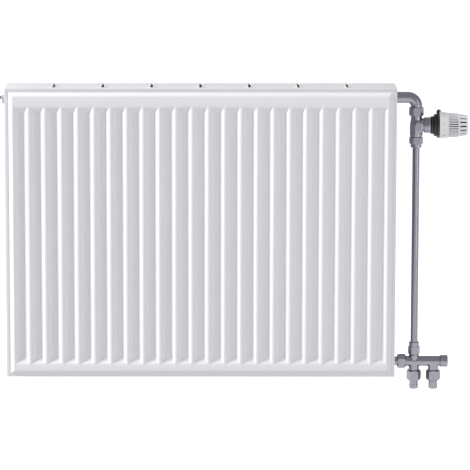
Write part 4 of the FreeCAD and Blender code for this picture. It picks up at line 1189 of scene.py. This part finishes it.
def lamp(name, place, aim, width, height, power):
    """Hang one soft light and aim it."""
    data = bpy.data.lights.new(name, "AREA")
    data.shape = "RECTANGLE"
    data.size, data.size_y = width, height
    data.energy = power
    light = linked(name, data)
    light.location = place
    light.rotation_euler = (Vector(aim) - Vector(place)).to_track_quat("-Z", "Y").to_euler()


class RADIATOR_OT_stage(bpy.types.Operator):
    """Set the pale floor, the soft lights and the camera"""

    bl_idname = "radiator.stage"
    bl_label = "Studio"

    def execute(self, context):
        size = read(context.scene.radiator_stage)
        floor = spun("studio_floor", [(-size.floor_drop, 0), (-size.floor_drop, size.reach),
                                      (-size.floor_drop - 20, size.reach), (-size.floor_drop - 20, 0)],
                     straight((0, 0, 0), "+Z"))
        floor_glow, dome_glow, air_glow = 0.5, 1.1, 0.6
        floor.data.materials.append(studio_white(floor_glow))
        floor.visible_diffuse = False
        dome_arc = np.linspace(-math.pi / 2, math.pi / 2, 25)
        dome = spun("studio_backdrop", [(size.reach * math.sin(a), max(0, size.reach * math.cos(a)))
                                        for a in dome_arc], straight((0, 0, 0), "+Z"))
        dome.data.materials.append(studio_white(dome_glow))
        dome.visible_diffuse = dome.visible_glossy = dome.visible_shadow = dome.visible_transmission = False
        # The metal has this card to reflect, and the camera doesn't see it.
        card = block("black_card", (-2500, -1600, -900), (-300, -1590, 1300))
        card.data.materials.append(finish("dark_plastic"))
        card.visible_camera = card.visible_diffuse = card.visible_shadow = False
        # The net shades the left casing from the key light, so that it stands out from the white room.
        scrim = block("end_scrim", (-432, -131, -300), (-430, -40, 312))
        net = surface("scrim_net", linear("FFFFFF"), 0.99, 5, (0.9, 0.95), 1, 0.1, Alpha=0.65)
        scrim.data.materials.append(net)
        scrim.visible_camera = scrim.visible_diffuse = scrim.visible_glossy = False
        world = bpy.data.worlds.new("studio_air")
        context.scene.world = world
        world.use_nodes = True
        air = world.node_tree.nodes["Background"].inputs
        air["Color"].default_value = (1, 1, 1.02, 1)
        air["Strength"].default_value = air_glow
        lamp("key_light", (-3.85, -0.93, 2.14), (0, 0, 0), 0.9, 0.9, 198)
        lamp("strip_light", (1.9, -1.6, 0.1), (0.44, -0.08, 0), 0.05, 1.6, 6)
        context.scene.view_settings.view_transform = "Standard"
        lens = bpy.data.cameras.new("studio_camera")
        lens.lens, lens.sensor_width = 241.8, 36
        lens.shift_x, lens.shift_y = 0.0724, -0.0768
        lens.clip_start, lens.clip_end = 0.1, 60
        camera = linked("studio_camera", lens)
        camera.location = (0.0121, -6.5, 1.062)
        yaw, pitch = -0.0018, 0.1541
        camera.rotation_euler = (math.pi / 2 - pitch, 0, -yaw)
        context.scene.camera = camera
        return {"FINISHED"}


# ---------------------------------------------------------------- sidebar and running

GROUPS = {
    "radiator_panel": PanelSizes, "radiator_casing": CasingSizes, "radiator_dial": DialSizes,
    "radiator_colours": FinishColours, "radiator_stage": StageSizes,
}
OPERATORS = (
    RADIATOR_OT_kept_parts, RADIATOR_OT_panels, RADIATOR_OT_grille, RADIATOR_OT_side_panels,
    RADIATOR_OT_hangers, RADIATOR_OT_tappings, RADIATOR_OT_bend, RADIATOR_OT_nuts, RADIATOR_OT_valve,
    RADIATOR_OT_head_socket, RADIATOR_OT_handwheel, RADIATOR_OT_manifold, RADIATOR_OT_stage,
)


class RADIATOR_PT_sidebar(bpy.types.Panel):
    """List the radiator's sizes, colours and pieces"""

    bl_idname = "RADIATOR_PT_sidebar"
    bl_label = "Panel Radiator"
    bl_space_type = "VIEW_3D"
    bl_region_type = "UI"
    bl_category = "Radiator"

    def draw(self, context):
        for operator in OPERATORS:
            self.layout.operator(operator.bl_idname)
        for name, group in GROUPS.items():
            column = self.layout.box().column()
            column.label(text=group.__doc__)
            for prop in group.__annotations__:
                column.prop(getattr(context.scene, name), prop)


CLASSES = (*GROUPS.values(), *OPERATORS, RADIATOR_PT_sidebar)


def register():
    """Add the classes and the scene's groups of sizes."""
    for item in CLASSES:
        bpy.utils.register_class(item)
    for name, group in GROUPS.items():
        setattr(bpy.types.Scene, name, bpy.props.PointerProperty(type=group))


def unregister():
    """Take the groups and the classes away again."""
    for name in GROUPS:
        delattr(bpy.types.Scene, name)
    for item in reversed(CLASSES):
        bpy.utils.unregister_class(item)


def main():
    """Build every piece in order."""
    register()
    for operator in OPERATORS:
        group, name = operator.bl_idname.split(".")
        getattr(getattr(bpy.ops, group), name)()


if __name__ == "__main__":
    main()
